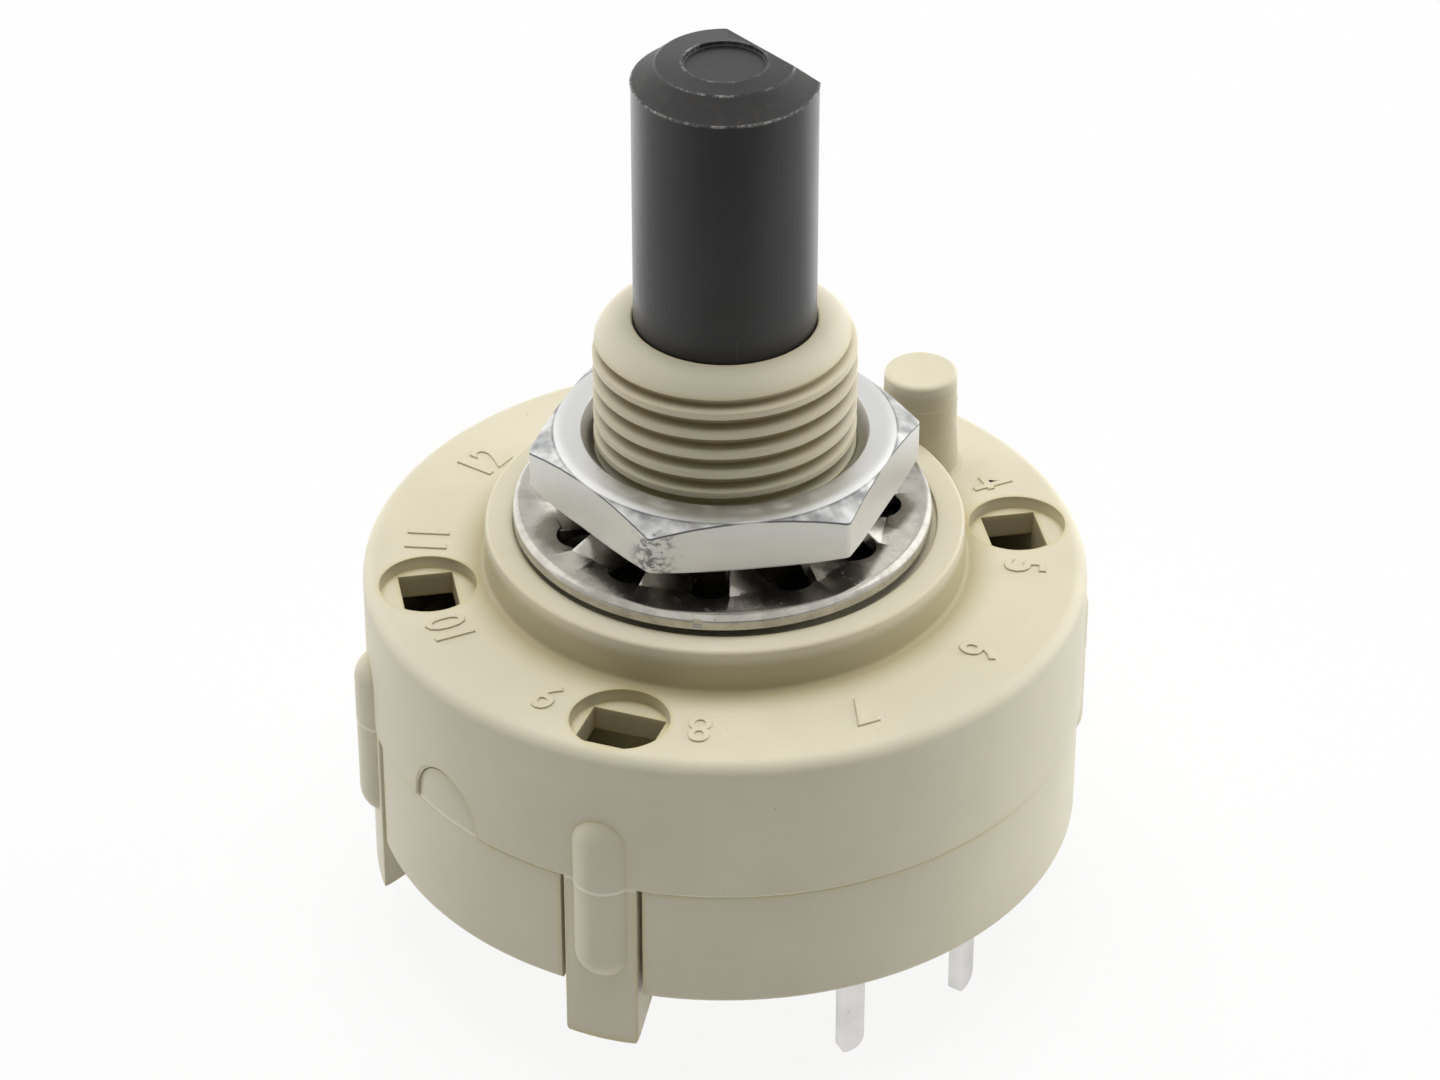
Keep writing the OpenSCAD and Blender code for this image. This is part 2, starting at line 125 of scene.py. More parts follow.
class Bench:
    """The modelling moves, each made with Blender's own operators. Sizes come in as millimetres."""

    MERGE = 2e-7

    @staticmethod
    def pick(*pieces: Piece) -> None:
        """Selects only these pieces, and makes the first one active."""
        bpy.ops.object.select_all(action="DESELECT")
        for piece in pieces:
            piece.select_set(True)
        bpy.context.view_layer.objects.active = pieces[0]

    @classmethod
    @contextmanager
    def editing(cls, piece: Piece, everything: bool = True) -> Iterator[None]:
        """Edit mode on one piece, with its whole mesh selected or nothing."""
        cls.pick(piece)
        bpy.ops.object.mode_set(mode="EDIT")
        bpy.ops.mesh.select_mode(type="VERT")
        bpy.ops.mesh.select_all(action="SELECT" if everything else "DESELECT")
        yield
        bpy.ops.object.mode_set(mode="OBJECT")

    @classmethod
    def settle(cls, piece: Piece) -> Piece:
        """Applies a piece's place, turn and scale to its mesh."""
        cls.pick(piece)
        bpy.ops.object.transform_apply(location=True, rotation=True, scale=True)
        return piece

    @classmethod
    def named(cls, name: str) -> Piece:
        """The primitive just added, under its name and settled."""
        piece = bpy.context.active_object
        piece.name = piece.data.name = name
        return cls.settle(piece)

    @classmethod
    def trace(cls, name: str, points: Sequence[Vector], closed: bool) -> Piece:
        """Lays a chain of edges by extruding one vertex from point to point.

        Args:
            name: the piece's name.
            points: the chain's points.
            closed: whether it comes back to its first point.

        Returns:
            The wire, with every vertex selected.
        """
        places = [point * MM for point in points] + ([points[0] * MM] if closed else [])
        bpy.ops.object.select_all(action="DESELECT")
        bpy.ops.mesh.primitive_plane_add(size=MM, location=places[0])
        wire = cls.named(name)
        with cls.editing(wire):
            bpy.ops.mesh.merge(type="CENTER")
            for start, end in zip(places, places[1:]):
                bpy.ops.mesh.extrude_region_move(TRANSFORM_OT_translate={"value": end - start})
            bpy.ops.mesh.select_all(action="SELECT")
            bpy.ops.mesh.remove_doubles(threshold=cls.MERGE)
        return wire

    @classmethod
    def turned(cls, name: str, outline: Outline, steps: int = 192, closed: bool = True) -> Piece:
        """Spins an outline of (radius, height) points round the Z axis.

        Args:
            name: the piece's name.
            outline: the half section.
            steps: flats round the axis.
            closed: False for an outline that starts and ends on the axis.

        Returns:
            The turned solid.
        """
        piece = cls.trace(name, [Vector((r, 0, z)) for r, z in outline], closed)
        with cls.editing(piece):
            bpy.ops.mesh.spin(steps=steps, angle=math.tau, center=(0, 0, 0), axis=(0, 0, 1))
            bpy.ops.mesh.select_all(action="SELECT")
            bpy.ops.mesh.remove_doubles(threshold=cls.MERGE)
            bpy.ops.mesh.normals_make_consistent(inside=False)
        return piece

    @classmethod
    def prism(cls, name: str, points: Sequence[Vector], along: Vector, taper: float = 1.0,
              about: Vector = Vector()) -> Piece:
        """Fills a flat outline and extrudes it.

        Args:
            name: the piece's name.
            points: the outline's corners.
            along: where the extrusion goes.
            taper: how much larger the far end is.
            about: the point that the far end grows from.

        Returns:
            The prism.
        """
        piece = cls.trace(name, points, closed=True)
        with cls.editing(piece):
            bpy.ops.mesh.edge_face_add()
            bpy.ops.mesh.extrude_region_move(TRANSFORM_OT_translate={"value": along * MM})
            if taper != 1.0:
                bpy.ops.transform.resize(value=(taper,) * 3, center_override=about * MM)
            bpy.ops.mesh.select_all(action="SELECT")
            bpy.ops.mesh.normals_make_consistent(inside=False)
        return piece

    @classmethod
    def block(cls, name: str, low: Sequence[float], high: Sequence[float], turn: float = 0.0) -> Piece:
        """A box between two corners, turned about the Z axis.

        Args:
            name: the piece's name.
            low: its lowest corner, before it is turned.
            high: its highest corner.
            turn: the angle it is turned by.

        Returns:
            The box.
        """
        low_v, high_v = Vector(low), Vector(high)
        bpy.ops.object.select_all(action="DESELECT")
        bpy.ops.mesh.primitive_cube_add(size=1, location=(low_v + high_v) / 2 * MM,
                                        scale=(high_v - low_v) * MM)
        return cls.turn(cls.named(name), turn)

    @classmethod
    def turn(cls, piece: Piece, angle: float) -> Piece:
        """Turns a piece about the Z axis."""
        piece.matrix_world = Matrix.Rotation(math.radians(angle), 4, "Z") @ piece.matrix_world
        return cls.settle(piece)

    @classmethod
    def shift(cls, piece: Piece, x: float = 0.0, y: float = 0.0, z: float = 0.0) -> Piece:
        """Moves a piece."""
        piece.location = Vector((x, y, z)) * MM
        return cls.settle(piece)

    @classmethod
    def copies(cls, piece: Piece, angles: Sequence[float]) -> list[Piece]:
        """Copies a piece round the Z axis, each copy with its own mesh, and takes the first away.

        Args:
            piece: the piece as modelled at angle 0.
            angles: where the copies go.

        Returns:
            The copies.
        """
        made = []
        for angle in angles:
            copy = piece.copy()
            copy.data = piece.data.copy()
            bpy.context.scene.collection.objects.link(copy)
            made.append(cls.turn(copy, angle))
        cls.scrap(piece)
        return made

    @classmethod
    def joined(cls, pieces: Sequence[Piece]) -> Piece:
        """Joins pieces that don't touch into one mesh."""
        cls.pick(*pieces)
        if len(pieces) > 1:
            bpy.ops.object.join()
        return pieces[0]

    @staticmethod
    def scrap(piece: Piece) -> None:
        """Takes a piece away, with its mesh."""
        mesh = piece.data
        bpy.data.objects.remove(piece)
        bpy.data.meshes.remove(mesh)

    @classmethod
    def apply(cls, piece: Piece, kind: str, **settings: Any) -> Piece:
        """Adds a modifier and applies it.

        Args:
            piece: the piece to change.
            kind: the modifier's type.
            settings: its settings by name.

        Returns:
            The same piece.
        """
        cls.pick(piece)
        modifier = piece.modifiers.new(kind.title(), kind)
        for name, value in settings.items():
            setattr(modifier, name, value)
        bpy.ops.object.modifier_apply(modifier=modifier.name)
        return piece

    @classmethod
    def combine(cls, piece: Piece, tool: Piece, cut: Cut) -> Piece:
        """Adds, removes or keeps one solid with another, and takes the second away.

        Args:
            piece: the solid that stays.
            tool: the other one.
            cut: what is done with it.

        Returns:
            The first solid, changed.
        """
        before = len(piece.data.polygons)
        cls.apply(piece, "BOOLEAN", object=tool, operation=cut.value, solver="MANIFOLD")
        if len(piece.data.polygons) == before:
            log.warning("%s: %s with %s changed nothing", piece.name, cut.value, tool.name)
        cls.scrap(tool)
        return piece

    @classmethod
    def soften(cls, piece: Piece, width: float, sharper_than: float = 40.0, segments: int = 2) -> Piece:
        """Rounds every edge of a piece that is sharper than an angle."""
        return cls.apply(piece, "BEVEL", width=width * MM, segments=segments, limit_method="ANGLE",
                         angle_limit=math.radians(sharper_than), use_clamp_overlap=True,
                         miter_outer="MITER_ARC")

    @classmethod
    def screwed(cls, name: str, outline: Outline, pitch: float, turns: float, steps: int) -> Piece:
        """Winds an outline of (radius, height) points into a right-hand helix about the Z axis.

        Args:
            name: the piece's name.
            outline: the section, at angle 0.
            pitch: its rise a turn.
            turns: how many whole turns.
            steps: flats in a turn.

        Returns:
            The helix, closed at both ends.
        """
        piece = cls.trace(name, [Vector((r, 0, z)) for r, z in outline], closed=True)
        cls.apply(piece, "SCREW", axis="Z", angle=math.tau, screw_offset=pitch * MM, iterations=turns,
                  steps=steps, render_steps=steps, use_merge_vertices=False)
        with cls.editing(piece):
            bpy.ops.mesh.remove_doubles(threshold=cls.MERGE)
            bpy.ops.mesh.fill_holes(sides=0)
            bpy.ops.mesh.normals_make_consistent(inside=False)
        return piece

    @classmethod
    def finish(cls, piece: Piece, smooth_below: float = 32.0) -> Piece:
        """Cleans a finished mesh and shades it smooth where its faces meet at less than an angle."""
        with cls.editing(piece):
            bpy.ops.mesh.dissolve_degenerate(threshold=cls.MERGE)
        cls.pick(piece)
        bpy.ops.object.shade_smooth_by_angle(angle=math.radians(smooth_below))
        return piece

    @classmethod
    def numeral(cls, text: str, height: float, narrow: float, relief: float) -> Piece:
        """A raised numeral about the origin, upright along +Y.

        Args:
            text: the number.
            height: how tall it is.
            narrow: how much its width is drawn in.
            relief: how far it reaches to each side of z = 0.

        Returns:
            The numeral as a mesh.
        """
        bpy.ops.object.select_all(action="DESELECT")
        bpy.ops.object.text_add()
        writing = bpy.context.active_object
        writing.data.body = text
        writing.data.align_x = "CENTER"
        writing.data.align_y = "CENTER"
        writing.data.resolution_u = 3
        writing.data.extrude = 0.6
        writing.data.offset = 0.016
        bpy.ops.object.convert(target="MESH")
        piece = cls.named("numeral_" + text)
        with cls.editing(piece):
            bpy.ops.mesh.remove_doubles(threshold=1e-4)
            bpy.ops.mesh.normals_make_consistent(inside=False)
        low = Vector([min(v.co[i] for v in piece.data.vertices) for i in range(3)])
        high = Vector([max(v.co[i] for v in piece.data.vertices) for i in range(3)])
        size = high - low
        scale = height / size.y
        piece.scale = Vector((scale * narrow, scale, 2 * relief / size.z)) * MM
        piece.location = -Vector(a * b for a, b in zip((low + high) / 2, piece.scale))
        return cls.settle(piece)


# ---------------------------------------------------------------- the frame's own sizes

def low_of(node: str) -> float:
    """A node's lowest height, in millimetres."""
    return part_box(node)[0].z / MM


def high_of(node: str) -> float:
    """A node's greatest height, in millimetres."""
    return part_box(node)[1].z / MM


def reach_of(node: str) -> float:
    """How far a turned node reaches from the axis, in millimetres."""
    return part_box(node)[1].x / MM


class Body(Enum):
    """The bodies that pieces ride on."""

    HOUSING = "housing"
    ROTOR = "rotor"


# ---------------------------------------------------------------- materials

Value = Union["Wire", float, int, Sequence[float]]


def shade(code: str) -> tuple[float, float, float, float]:
    """A colour's linear red, green and blue from its six-digit code."""
    parts = [int(code[i:i + 2], 16) / 255 for i in (0, 2, 4)]
    linear = [p / 12.92 if p <= 0.04045 else ((p + 0.055) / 1.055) ** 2.4 for p in parts]
    return (linear[0], linear[1], linear[2], 1.0)


class Wire:
    """One output of a material's nodes. Python's operators on it add Math nodes."""

    def __init__(self, recipe: "Recipe", socket: bpy.types.NodeSocket) -> None:
        """Holds the socket and the recipe that it belongs to."""
        self.recipe = recipe
        self.socket = socket

    def maths(self, operation: str, *values: Value) -> "Wire":
        """Adds a Math node on these values."""
        return self.recipe.node("ShaderNodeMath", {"operation": operation}, dict(enumerate(values)))

    def __add__(self, other: Value) -> "Wire":
        """self + other."""
        return self.maths("ADD", self, other)

    def __radd__(self, other: Value) -> "Wire":
        """other + self."""
        return self.maths("ADD", other, self)

    def __sub__(self, other: Value) -> "Wire":
        """self - other."""
        return self.maths("SUBTRACT", self, other)

    def __rsub__(self, other: Value) -> "Wire":
        """other - self."""
        return self.maths("SUBTRACT", other, self)

    def __mul__(self, other: Value) -> "Wire":
        """self * other."""
        return self.maths("MULTIPLY", self, other)

    def __rmul__(self, other: Value) -> "Wire":
        """other * self."""
        return self.maths("MULTIPLY", other, self)

    def __truediv__(self, other: Value) -> "Wire":
        """self / other."""
        return self.maths("DIVIDE", self, other)

    def __pow__(self, other: Value) -> "Wire":
        """self to the power of other."""
        return self.maths("POWER", self, other)

    def either(self, other: Value) -> "Wire":
        """The larger of two values."""
        return self.maths("MAXIMUM", self, other)

    def rise(self, low: float, high: float) -> "Wire":
        """Goes smoothly from 0 at low to 1 at high, or down again where high is less than low."""
        if low > high:
            return 1 - self.rise(high, low)
        ranges = {"From Min": low, "From Max": high}
        return self.recipe.node("ShaderNodeMapRange", {"interpolation_type": "SMOOTHSTEP"},
                                {"Value": self, **ranges})

    def band(self, low: float, high: float, soft: float) -> "Wire":
        """1 between low and high, with soft ends."""
        return self.rise(low - soft, low) * self.rise(high + soft, high)


class Recipe:
    """A material's nodes. Its coordinates are the piece's own, in millimetres."""

    def __init__(self, name: str) -> None:
        """Starts an empty material."""
        self.material = bpy.data.materials.new(name)
        self.material.use_nodes = True
        self.tree = self.material.node_tree
        self.tree.nodes.clear()
        place = self.node("ShaderNodeTexCoord", output="Object")
        self.place = self.node("ShaderNodeVectorMath", {"operation": "SCALE"},
                               {0: place, "Scale": 1 / MM})
        self.x = self.node("ShaderNodeSeparateXYZ", sockets={0: self.place}, output="X")
        self.y = self.node("ShaderNodeSeparateXYZ", sockets={0: self.place}, output="Y")
        self.z = self.node("ShaderNodeSeparateXYZ", sockets={0: self.place}, output="Z")
        self.radius = (self.x * self.x + self.y * self.y) ** 0.5

    def node(self, kind: str, settings: dict[str, Any] | None = None,
             sockets: dict[Any, Value] | None = None,
             output: str | int = 0) -> Wire:
        """Adds any node.

        Args:
            kind: the node's type.
            settings: its settings, which are set first. A ramp's stops are given under "stops".
            sockets: values or wires of its inputs, by name or number.
            output: the output that is wanted.

        Returns:
            That output.
        """
        made = self.tree.nodes.new(kind)
        for name, value in (settings or {}).items():
            if name == "stops":
                self.set_stops(made.color_ramp, value)
            else:
                setattr(made, name, value)
        for key, value in (sockets or {}).items():
            if isinstance(value, Wire):
                self.tree.links.new(value.socket, made.inputs[key])
            else:
                made.inputs[key].default_value = value
        return Wire(self, made.outputs[output]) if made.outputs else Wire(self, made.inputs[0])

    @staticmethod
    def set_stops(ramp: bpy.types.ColorRamp, stops: Sequence[tuple[float, Sequence[float]]]) -> None:
        """Gives a ramp its stops, as (position, colour)."""
        while len(ramp.elements) < len(stops):
            ramp.elements.new(1.0)
        for element, (position, colour) in zip(ramp.elements, stops):
            element.position = position
            element.color = colour

    def noise(self, per_mm: float, detail: float = 3.0, rough: float = 0.5,
              stretch: Sequence[float] = (1, 1, 1),
              seed: float = 0.0) -> Wire:
        """Noise from 0 to 1.

        Args:
            per_mm: how many of its blotches fit in a millimetre.
            detail: how many finer layers it has.
            rough: how strong those are.
            stretch: how much finer it is along each axis.
            seed: a shift that makes it another pattern.

        Returns:
            The noise.
        """
        place = self.node("ShaderNodeVectorMath", {"operation": "MULTIPLY_ADD"},
                          {0: self.place, 1: stretch, 2: (seed, seed * 1.7, seed * 2.3)})
        return self.node("ShaderNodeTexNoise", {"noise_dimensions": "3D"},
                         {"Vector": place, "Scale": per_mm, "Detail": detail, "Roughness": rough})

    def tint(self, mask: Value, under: Value, over: Value) -> Wire:
        """Goes from one colour to another where a mask is 1."""
        return self.node("ShaderNodeMix", {"data_type": "RGBA"}, {0: mask, 6: under, 7: over}, output=2)

    def edges(self, radius: float, low: float = 0.01, high: float = 0.16) -> tuple[Wire, Wire]:
        """Rounds the shading over every edge.

        Args:
            radius: how far the rounding reaches.
            low: the turn of the normal, as 1 - cosine, at which the mask starts.
            high: the turn at which it is full.

        Returns:
            The rounded normal, and a mask that is 1 on the edges.
        """
        rounded = self.node("ShaderNodeBevel", {"samples": 6}, {"Radius": radius * MM})
        normal = self.node("ShaderNodeNewGeometry", output="Normal")
        facing = self.node("ShaderNodeVectorMath", {"operation": "DOT_PRODUCT"}, {0: rounded, 1: normal},
                           output="Value")
        return rounded, (1 - facing).rise(low, high)

    def bump(self, height: Wire, depth: float, normal: Wire | None = None) -> Wire:
        """Relief of a depth in millimetres."""
        sockets: dict[Any, Value] = {"Strength": 1.0, "Distance": depth * MM, "Height": height}
        if normal is not None:
            sockets["Normal"] = normal
        return self.node("ShaderNodeBump", sockets=sockets)

    def surface(self, **sockets: Value) -> bpy.types.Material:
        """Closes the recipe with a Principled BSDF.

        Args:
            sockets: its sockets by name, with _ for each space.

        Returns:
            The material.
        """
        shader = self.node("ShaderNodeBsdfPrincipled",
                           sockets={k.replace("_", " "): v for k, v in sockets.items()})
        self.node("ShaderNodeOutputMaterial", sockets={"Surface": shader})
        return self.material


@dataclass(frozen=True)
class MouldedPlastic:
    """Beige moulded plastic with grain, flow marks and dark specks, whose colour also holds painted shade
    and painted light.
    """

    name: str = "beige_plastic"
    clean: str = "d9d2ba"
    pale: str = "dcd6bf"
    warm: str = "d5ceb6"
    worn: str = "ece7d6"
    # A warm tone painted on the edges, as light glowing through the plastic there.
    edge_tone: str = "cfc08a"
    # Painted shade for the crease at the boss's foot, round the spigot's root and inside the cup.
    stain: str = "96894f"
    spigot_at: float = SPIGOT_AT
    # Dark specks of dirt, and painted shade down in the thread's grooves.
    grime: str = "7f7145"
    # Painted shade under the nut.
    soot: str = "1d1b17"
    roughness: float = 0.44
    grain_depth: float = 0.006
    thread_crest: float = 4.6
    thread_foot: float = 0.3
    thread_root: tuple[float, float] = (3.9, 4.15)
    mouth: tuple[float, float] = (7.75, 7.2)
    parting: float = PARTING
    skirt: tuple[float, float] = (12.6, 12.7)
    boss_side: tuple[float, float] = (8.2, 8.35)
    boss_fade: tuple[float, float] = (9.9, 8.6)
    boss_fall: tuple[float, float] = (-0.15, -0.7)
    spigot_side: tuple[float, float] = (1.65, 1.5)
    spigot_fall: tuple[float, float] = (2.1, 1.7)
    inner_wall: tuple[float, float] = (11.75, 11.65)
    ceiling: tuple[float, float] = (-2.2, -2.4)
    nut_shade: tuple[float, float] = (5.3, 5.0)
    nut_level: tuple[float, float] = (0.0, 1.6)

    def material(self) -> bpy.types.Material:
        """Builds its nodes."""
        recipe = Recipe(self.name)
        rounded, edge = recipe.edges(0.07)
        warm_edge_band = recipe.edges(0.45, 0.0, 0.25)[1]
        cloud = recipe.noise(0.22, 2.0)
        flow = recipe.noise(0.5, 4.0, 0.6, (1, 1, 0.35), seed=3.0)
        grain = recipe.noise(9.0, 3.0, 0.6)
        pits = recipe.noise(3.1, 2.0, 0.5, seed=8.0)
        speck = recipe.noise(5.0, 1.0, 0.4, seed=21.0)
        colour = recipe.tint(cloud.rise(0.35, 0.65), shade(self.warm), shade(self.clean))
        colour = recipe.tint(flow.rise(0.5, 0.75) * 0.2, colour, shade(self.pale))
        colour = recipe.tint(speck.rise(0.78, 0.82) * 0.3, colour, shade(self.grime))
        # Painted highlight: a paler line along the bevel at the parting line.
        parting_highlight = recipe.z.band(self.parting, self.parting + 0.12, 0.02) * recipe.radius.rise(*self.skirt)
        # Painted light: a warm yellow tone on and beside every rounded edge, as if light glowed through
        # the plastic.
        colour = recipe.tint(warm_edge_band * 0.75, colour, shade(self.edge_tone))
        # Painted shade: a darker olive tone in the crease at the foot of the boss, round the spigot's
        # root and inside the cup below its ceiling.
        shade_at_boss_foot = recipe.radius.rise(*self.boss_fade) * recipe.radius.rise(*self.boss_side)
        shade_at_boss_foot = shade_at_boss_foot * recipe.z.rise(*self.boss_fall)
        beside = recipe.y - self.spigot_at
        shade_at_spigot_root = ((recipe.x * recipe.x + beside * beside) ** 0.5).rise(*self.spigot_side)
        shade_at_spigot_root = shade_at_spigot_root * recipe.z.rise(*self.spigot_fall)
        inside = recipe.z.rise(*self.ceiling) * recipe.radius.rise(*self.inner_wall)
        crease_shade_mask = (shade_at_boss_foot * 0.55).either(shade_at_spigot_root * 0.3).either(inside * 0.35)
        colour = recipe.tint(crease_shade_mask, colour, shade(self.stain))
        # Paler at worn edges, and the painted highlight along the parting line.
        colour = recipe.tint((edge * 0.25).either(parting_highlight * 0.8), colour, shade(self.worn))
        # Painted shade: a darker brown down in the thread's grooves, from the thread's foot up to the
        # mouth.
        depth = recipe.radius.rise(self.thread_crest - 0.04, self.thread_crest - 0.3)
        groove_shade = depth * recipe.radius.rise(*self.thread_root)
        groove_shade = groove_shade * recipe.z.rise(self.thread_foot, self.thread_foot + 0.1)
        below_mouth = recipe.z.rise(*self.mouth)
        colour = recipe.tint(groove_shade * below_mouth * 0.85, colour, shade(self.grime))
        # Painted shade: near black on the bush wall under the nut, where the lock washer's windows look
        # in.
        shade_under_nut = recipe.radius.rise(*self.nut_shade) * recipe.z.band(*self.nut_level, 0.1)
        colour = recipe.tint(shade_under_nut * 0.95, colour, shade(self.soot))
        relief = grain * 0.6 + pits * 0.4 + flow * 0.3
        return recipe.surface(
            Base_Color=colour,
            Roughness=self.roughness + (grain - 0.5) * 0.16 + (cloud - 0.5) * 0.05,
            Normal=recipe.bump(relief, self.grain_depth, rounded),
            Specular_IOR_Level=0.38,
        )


@dataclass(frozen=True)
class ShaftPlastic:
    """Black filled plastic, moulded smooth, with fine scratches and pale worn flash at the end."""

    name: str = "black_plastic"
    black: str = "0e0e0f"
    dusty: str = "1b1b1d"
    worn: str = "9b9a98"
    brownish: str = "2a2721"
    roughness: float = 0.36
    ring: float = 1.44
    rim: float = 2.36
    end: float = 18.0
    shoulder: float = 17.42

    def material(self) -> bpy.types.Material:
        """Builds its nodes."""
        recipe = Recipe(self.name)
        rounded, edge = recipe.edges(0.06)
        haze = recipe.noise(0.45, 3.0, 0.55, (1, 1, 0.4))
        scratch = recipe.noise(2.2, 4.0, 0.65, (3.0, 3.0, 0.25), seed=5.0)
        flake = recipe.noise(2.4, 3.0, 0.6, seed=11.0)
        grain = recipe.noise(12.0, 2.0, 0.6)
        near_ring = recipe.radius.band(self.ring - 0.07, self.ring + 0.06, 0.03)
        near_ring = near_ring * recipe.z.rise(self.end, self.end + 0.1)
        on_flash = recipe.z.band(self.shoulder - 0.05, self.shoulder + 0.02, 0.02)
        on_flash = on_flash * recipe.radius.rise(3.1, 3.17)
        on_rim = recipe.radius.band(self.rim - 0.03, self.rim + 0.02, 0.02)
        on_rim = on_rim * recipe.z.rise(self.end, self.end + 0.1)
        fine = recipe.noise(9.0, 3.0, 0.6, seed=13.0)
        wear = flake.rise(0.36, 0.66) * fine.rise(0.3, 0.62)
        bright = (near_ring * haze.rise(0.46, 0.56) * wear).either(on_flash * wear)
        bright = bright.either(on_rim * haze.rise(0.5, 0.6) * wear)
        bright = bright.either(edge * flake.rise(0.5, 0.7) * recipe.z.rise(17.3, 17.4) * 0.6)
        colour = recipe.tint(haze.rise(0.4, 0.7), shade(self.black), shade(self.dusty))
        chamfer = recipe.z.rise(self.shoulder, self.shoulder + 0.08)
        chamfer = chamfer * recipe.radius.rise(self.rim, self.rim + 0.1)
        colour = recipe.tint(chamfer * flake.rise(0.45, 0.7) * 0.6, colour, shade(self.brownish))
        colour = recipe.tint(scratch.rise(0.68, 0.8) * 0.16, colour, shade(self.worn))
        colour = recipe.tint(bright * 0.9, colour, shade(self.worn))
        rough = self.roughness + (haze - 0.5) * 0.18 + scratch.rise(0.55, 0.75) * 0.12 + chamfer * 0.18
        return recipe.surface(
            Base_Color=colour,
            Roughness=rough,
            Normal=recipe.bump(grain * 0.4 + scratch * 0.5, 0.004, rounded),
            Specular_IOR_Level=0.52,
        )


@dataclass(frozen=True)
class Metal:
    """A metal or plated finish, with soft mottling, fine scratches and paler worn edges."""

    name: str
    colour: str
    shadow: str
    roughness: float
    worn: str = "f2f2f0"
    mottle: float = 0.5
    mottle_per_mm: float = 0.8
    scratches: float = 0.12
    relief: float = 0.004
    lay: tuple[float, float, float] = (1.0, 1.0, 1.0)
    edge_radius: float = 0.05

    def material(self) -> bpy.types.Material:
        """Builds its nodes."""
        recipe = Recipe(self.name)
        rounded, edge = recipe.edges(self.edge_radius)
        cloud = recipe.noise(self.mottle_per_mm, 4.0, 0.6)
        spangle = recipe.noise(self.mottle_per_mm * 5, 2.0, 0.5, seed=4.0)
        scratch = recipe.noise(3.0, 5.0, 0.7, self.lay, seed=9.0)
        pit = recipe.noise(6.5, 1.0, 0.5, seed=14.0)
        colour = recipe.tint(cloud.rise(0.35, 0.7) * self.mottle, shade(self.colour), shade(self.shadow))
        colour = recipe.tint(pit.rise(0.72, 0.78) * 0.5, colour, shade(self.shadow))
        colour = recipe.tint(edge * 0.5, colour, shade(self.worn))
        rough = self.roughness + (cloud - 0.5) * 0.3 * self.mottle
        rough = rough + scratch.rise(0.5, 0.75) * self.scratches
        rough = rough + (spangle - 0.5) * 0.1
        colour, rough, dents = self.marks(recipe, colour, rough)
        relief = scratch * 0.7 + spangle * 0.3 + cloud * 0.5 - dents
        return recipe.surface(
            Base_Color=colour,
            Roughness=rough,
            Metallic=1.0,
            Normal=recipe.bump(relief, self.relief, rounded),
        )

    def marks(self, recipe: Recipe, colour: Wire, rough: Wire) -> tuple[Wire, Wire, Value]:
        """Marks of making and use, which a plain finish doesn't have.

        Args:
            recipe: the material's nodes.
            colour: the colour so far.
            rough: the roughness so far.

        Returns:
            The colour, the roughness and how deep the marks are.
        """
        return colour, rough, 0.0


@dataclass(frozen=True)
class SpannerMarked(Metal):
    """The nut's plating: a line rolled under its chamfer, a scuffed corner and smears on its top."""

    chamfer_r: float = 5.85
    chamfer_slope: float = 0.424
    face: float = 3.72
    scuffed_corner: float = 297.6
    corner_reach: tuple[float, float] = (6.25, 6.8)
    rubbed_side: float = 310.0
    rubbed_ring: tuple[float, float] = (4.95, 5.45)
    rubbed_reach: tuple[float, float] = (2.6, 4.6)
    line: str = "55575a"

    def marks(self, recipe: Recipe, colour: Wire, rough: Wire) -> tuple[Wire, Wire, Value]:
        """Draws the line, the scuffed corner and the smears."""
        below = self.face - (recipe.radius - self.chamfer_r) * self.chamfer_slope - recipe.z
        outside = recipe.radius.rise(self.chamfer_r + 0.12, self.chamfer_r + 0.2)
        waver = recipe.noise(1.3, 2.0, 0.5, seed=31.0)
        line = (below + (waver - 0.5) * 0.05).band(0.02, 0.075, 0.03) * outside
        turn = math.radians(self.scuffed_corner)
        near = recipe.x * math.cos(turn) + recipe.y * math.sin(turn)
        grit = recipe.noise(2.6, 4.0, 0.7, (1, 1, 1.6), seed=17.0)
        corner = near.rise(*self.corner_reach) * grit.rise(0.47, 0.6)
        colour = recipe.tint((line * 0.9).either(corner * 0.75), colour, shade(self.line))
        facing = math.radians(self.rubbed_side)
        ahead = recipe.x * math.cos(facing) + recipe.y * math.sin(facing)
        rub = recipe.noise(0.9, 2.0, 0.4, (1, 1, 1), seed=23.0)
        rubbed = recipe.radius.band(*self.rubbed_ring, 0.3) * ahead.rise(*self.rubbed_reach)
        rubbed = rubbed * rub.rise(0.38, 0.72)
        rubbed = rubbed * recipe.z.rise(self.face - 0.1, self.face - 0.02)
        colour = recipe.tint(rubbed * 0.5, colour, shade(self.worn))
        return colour, rough + corner * 0.2 + rubbed * 0.15, corner * 2.0 + line * 1.5


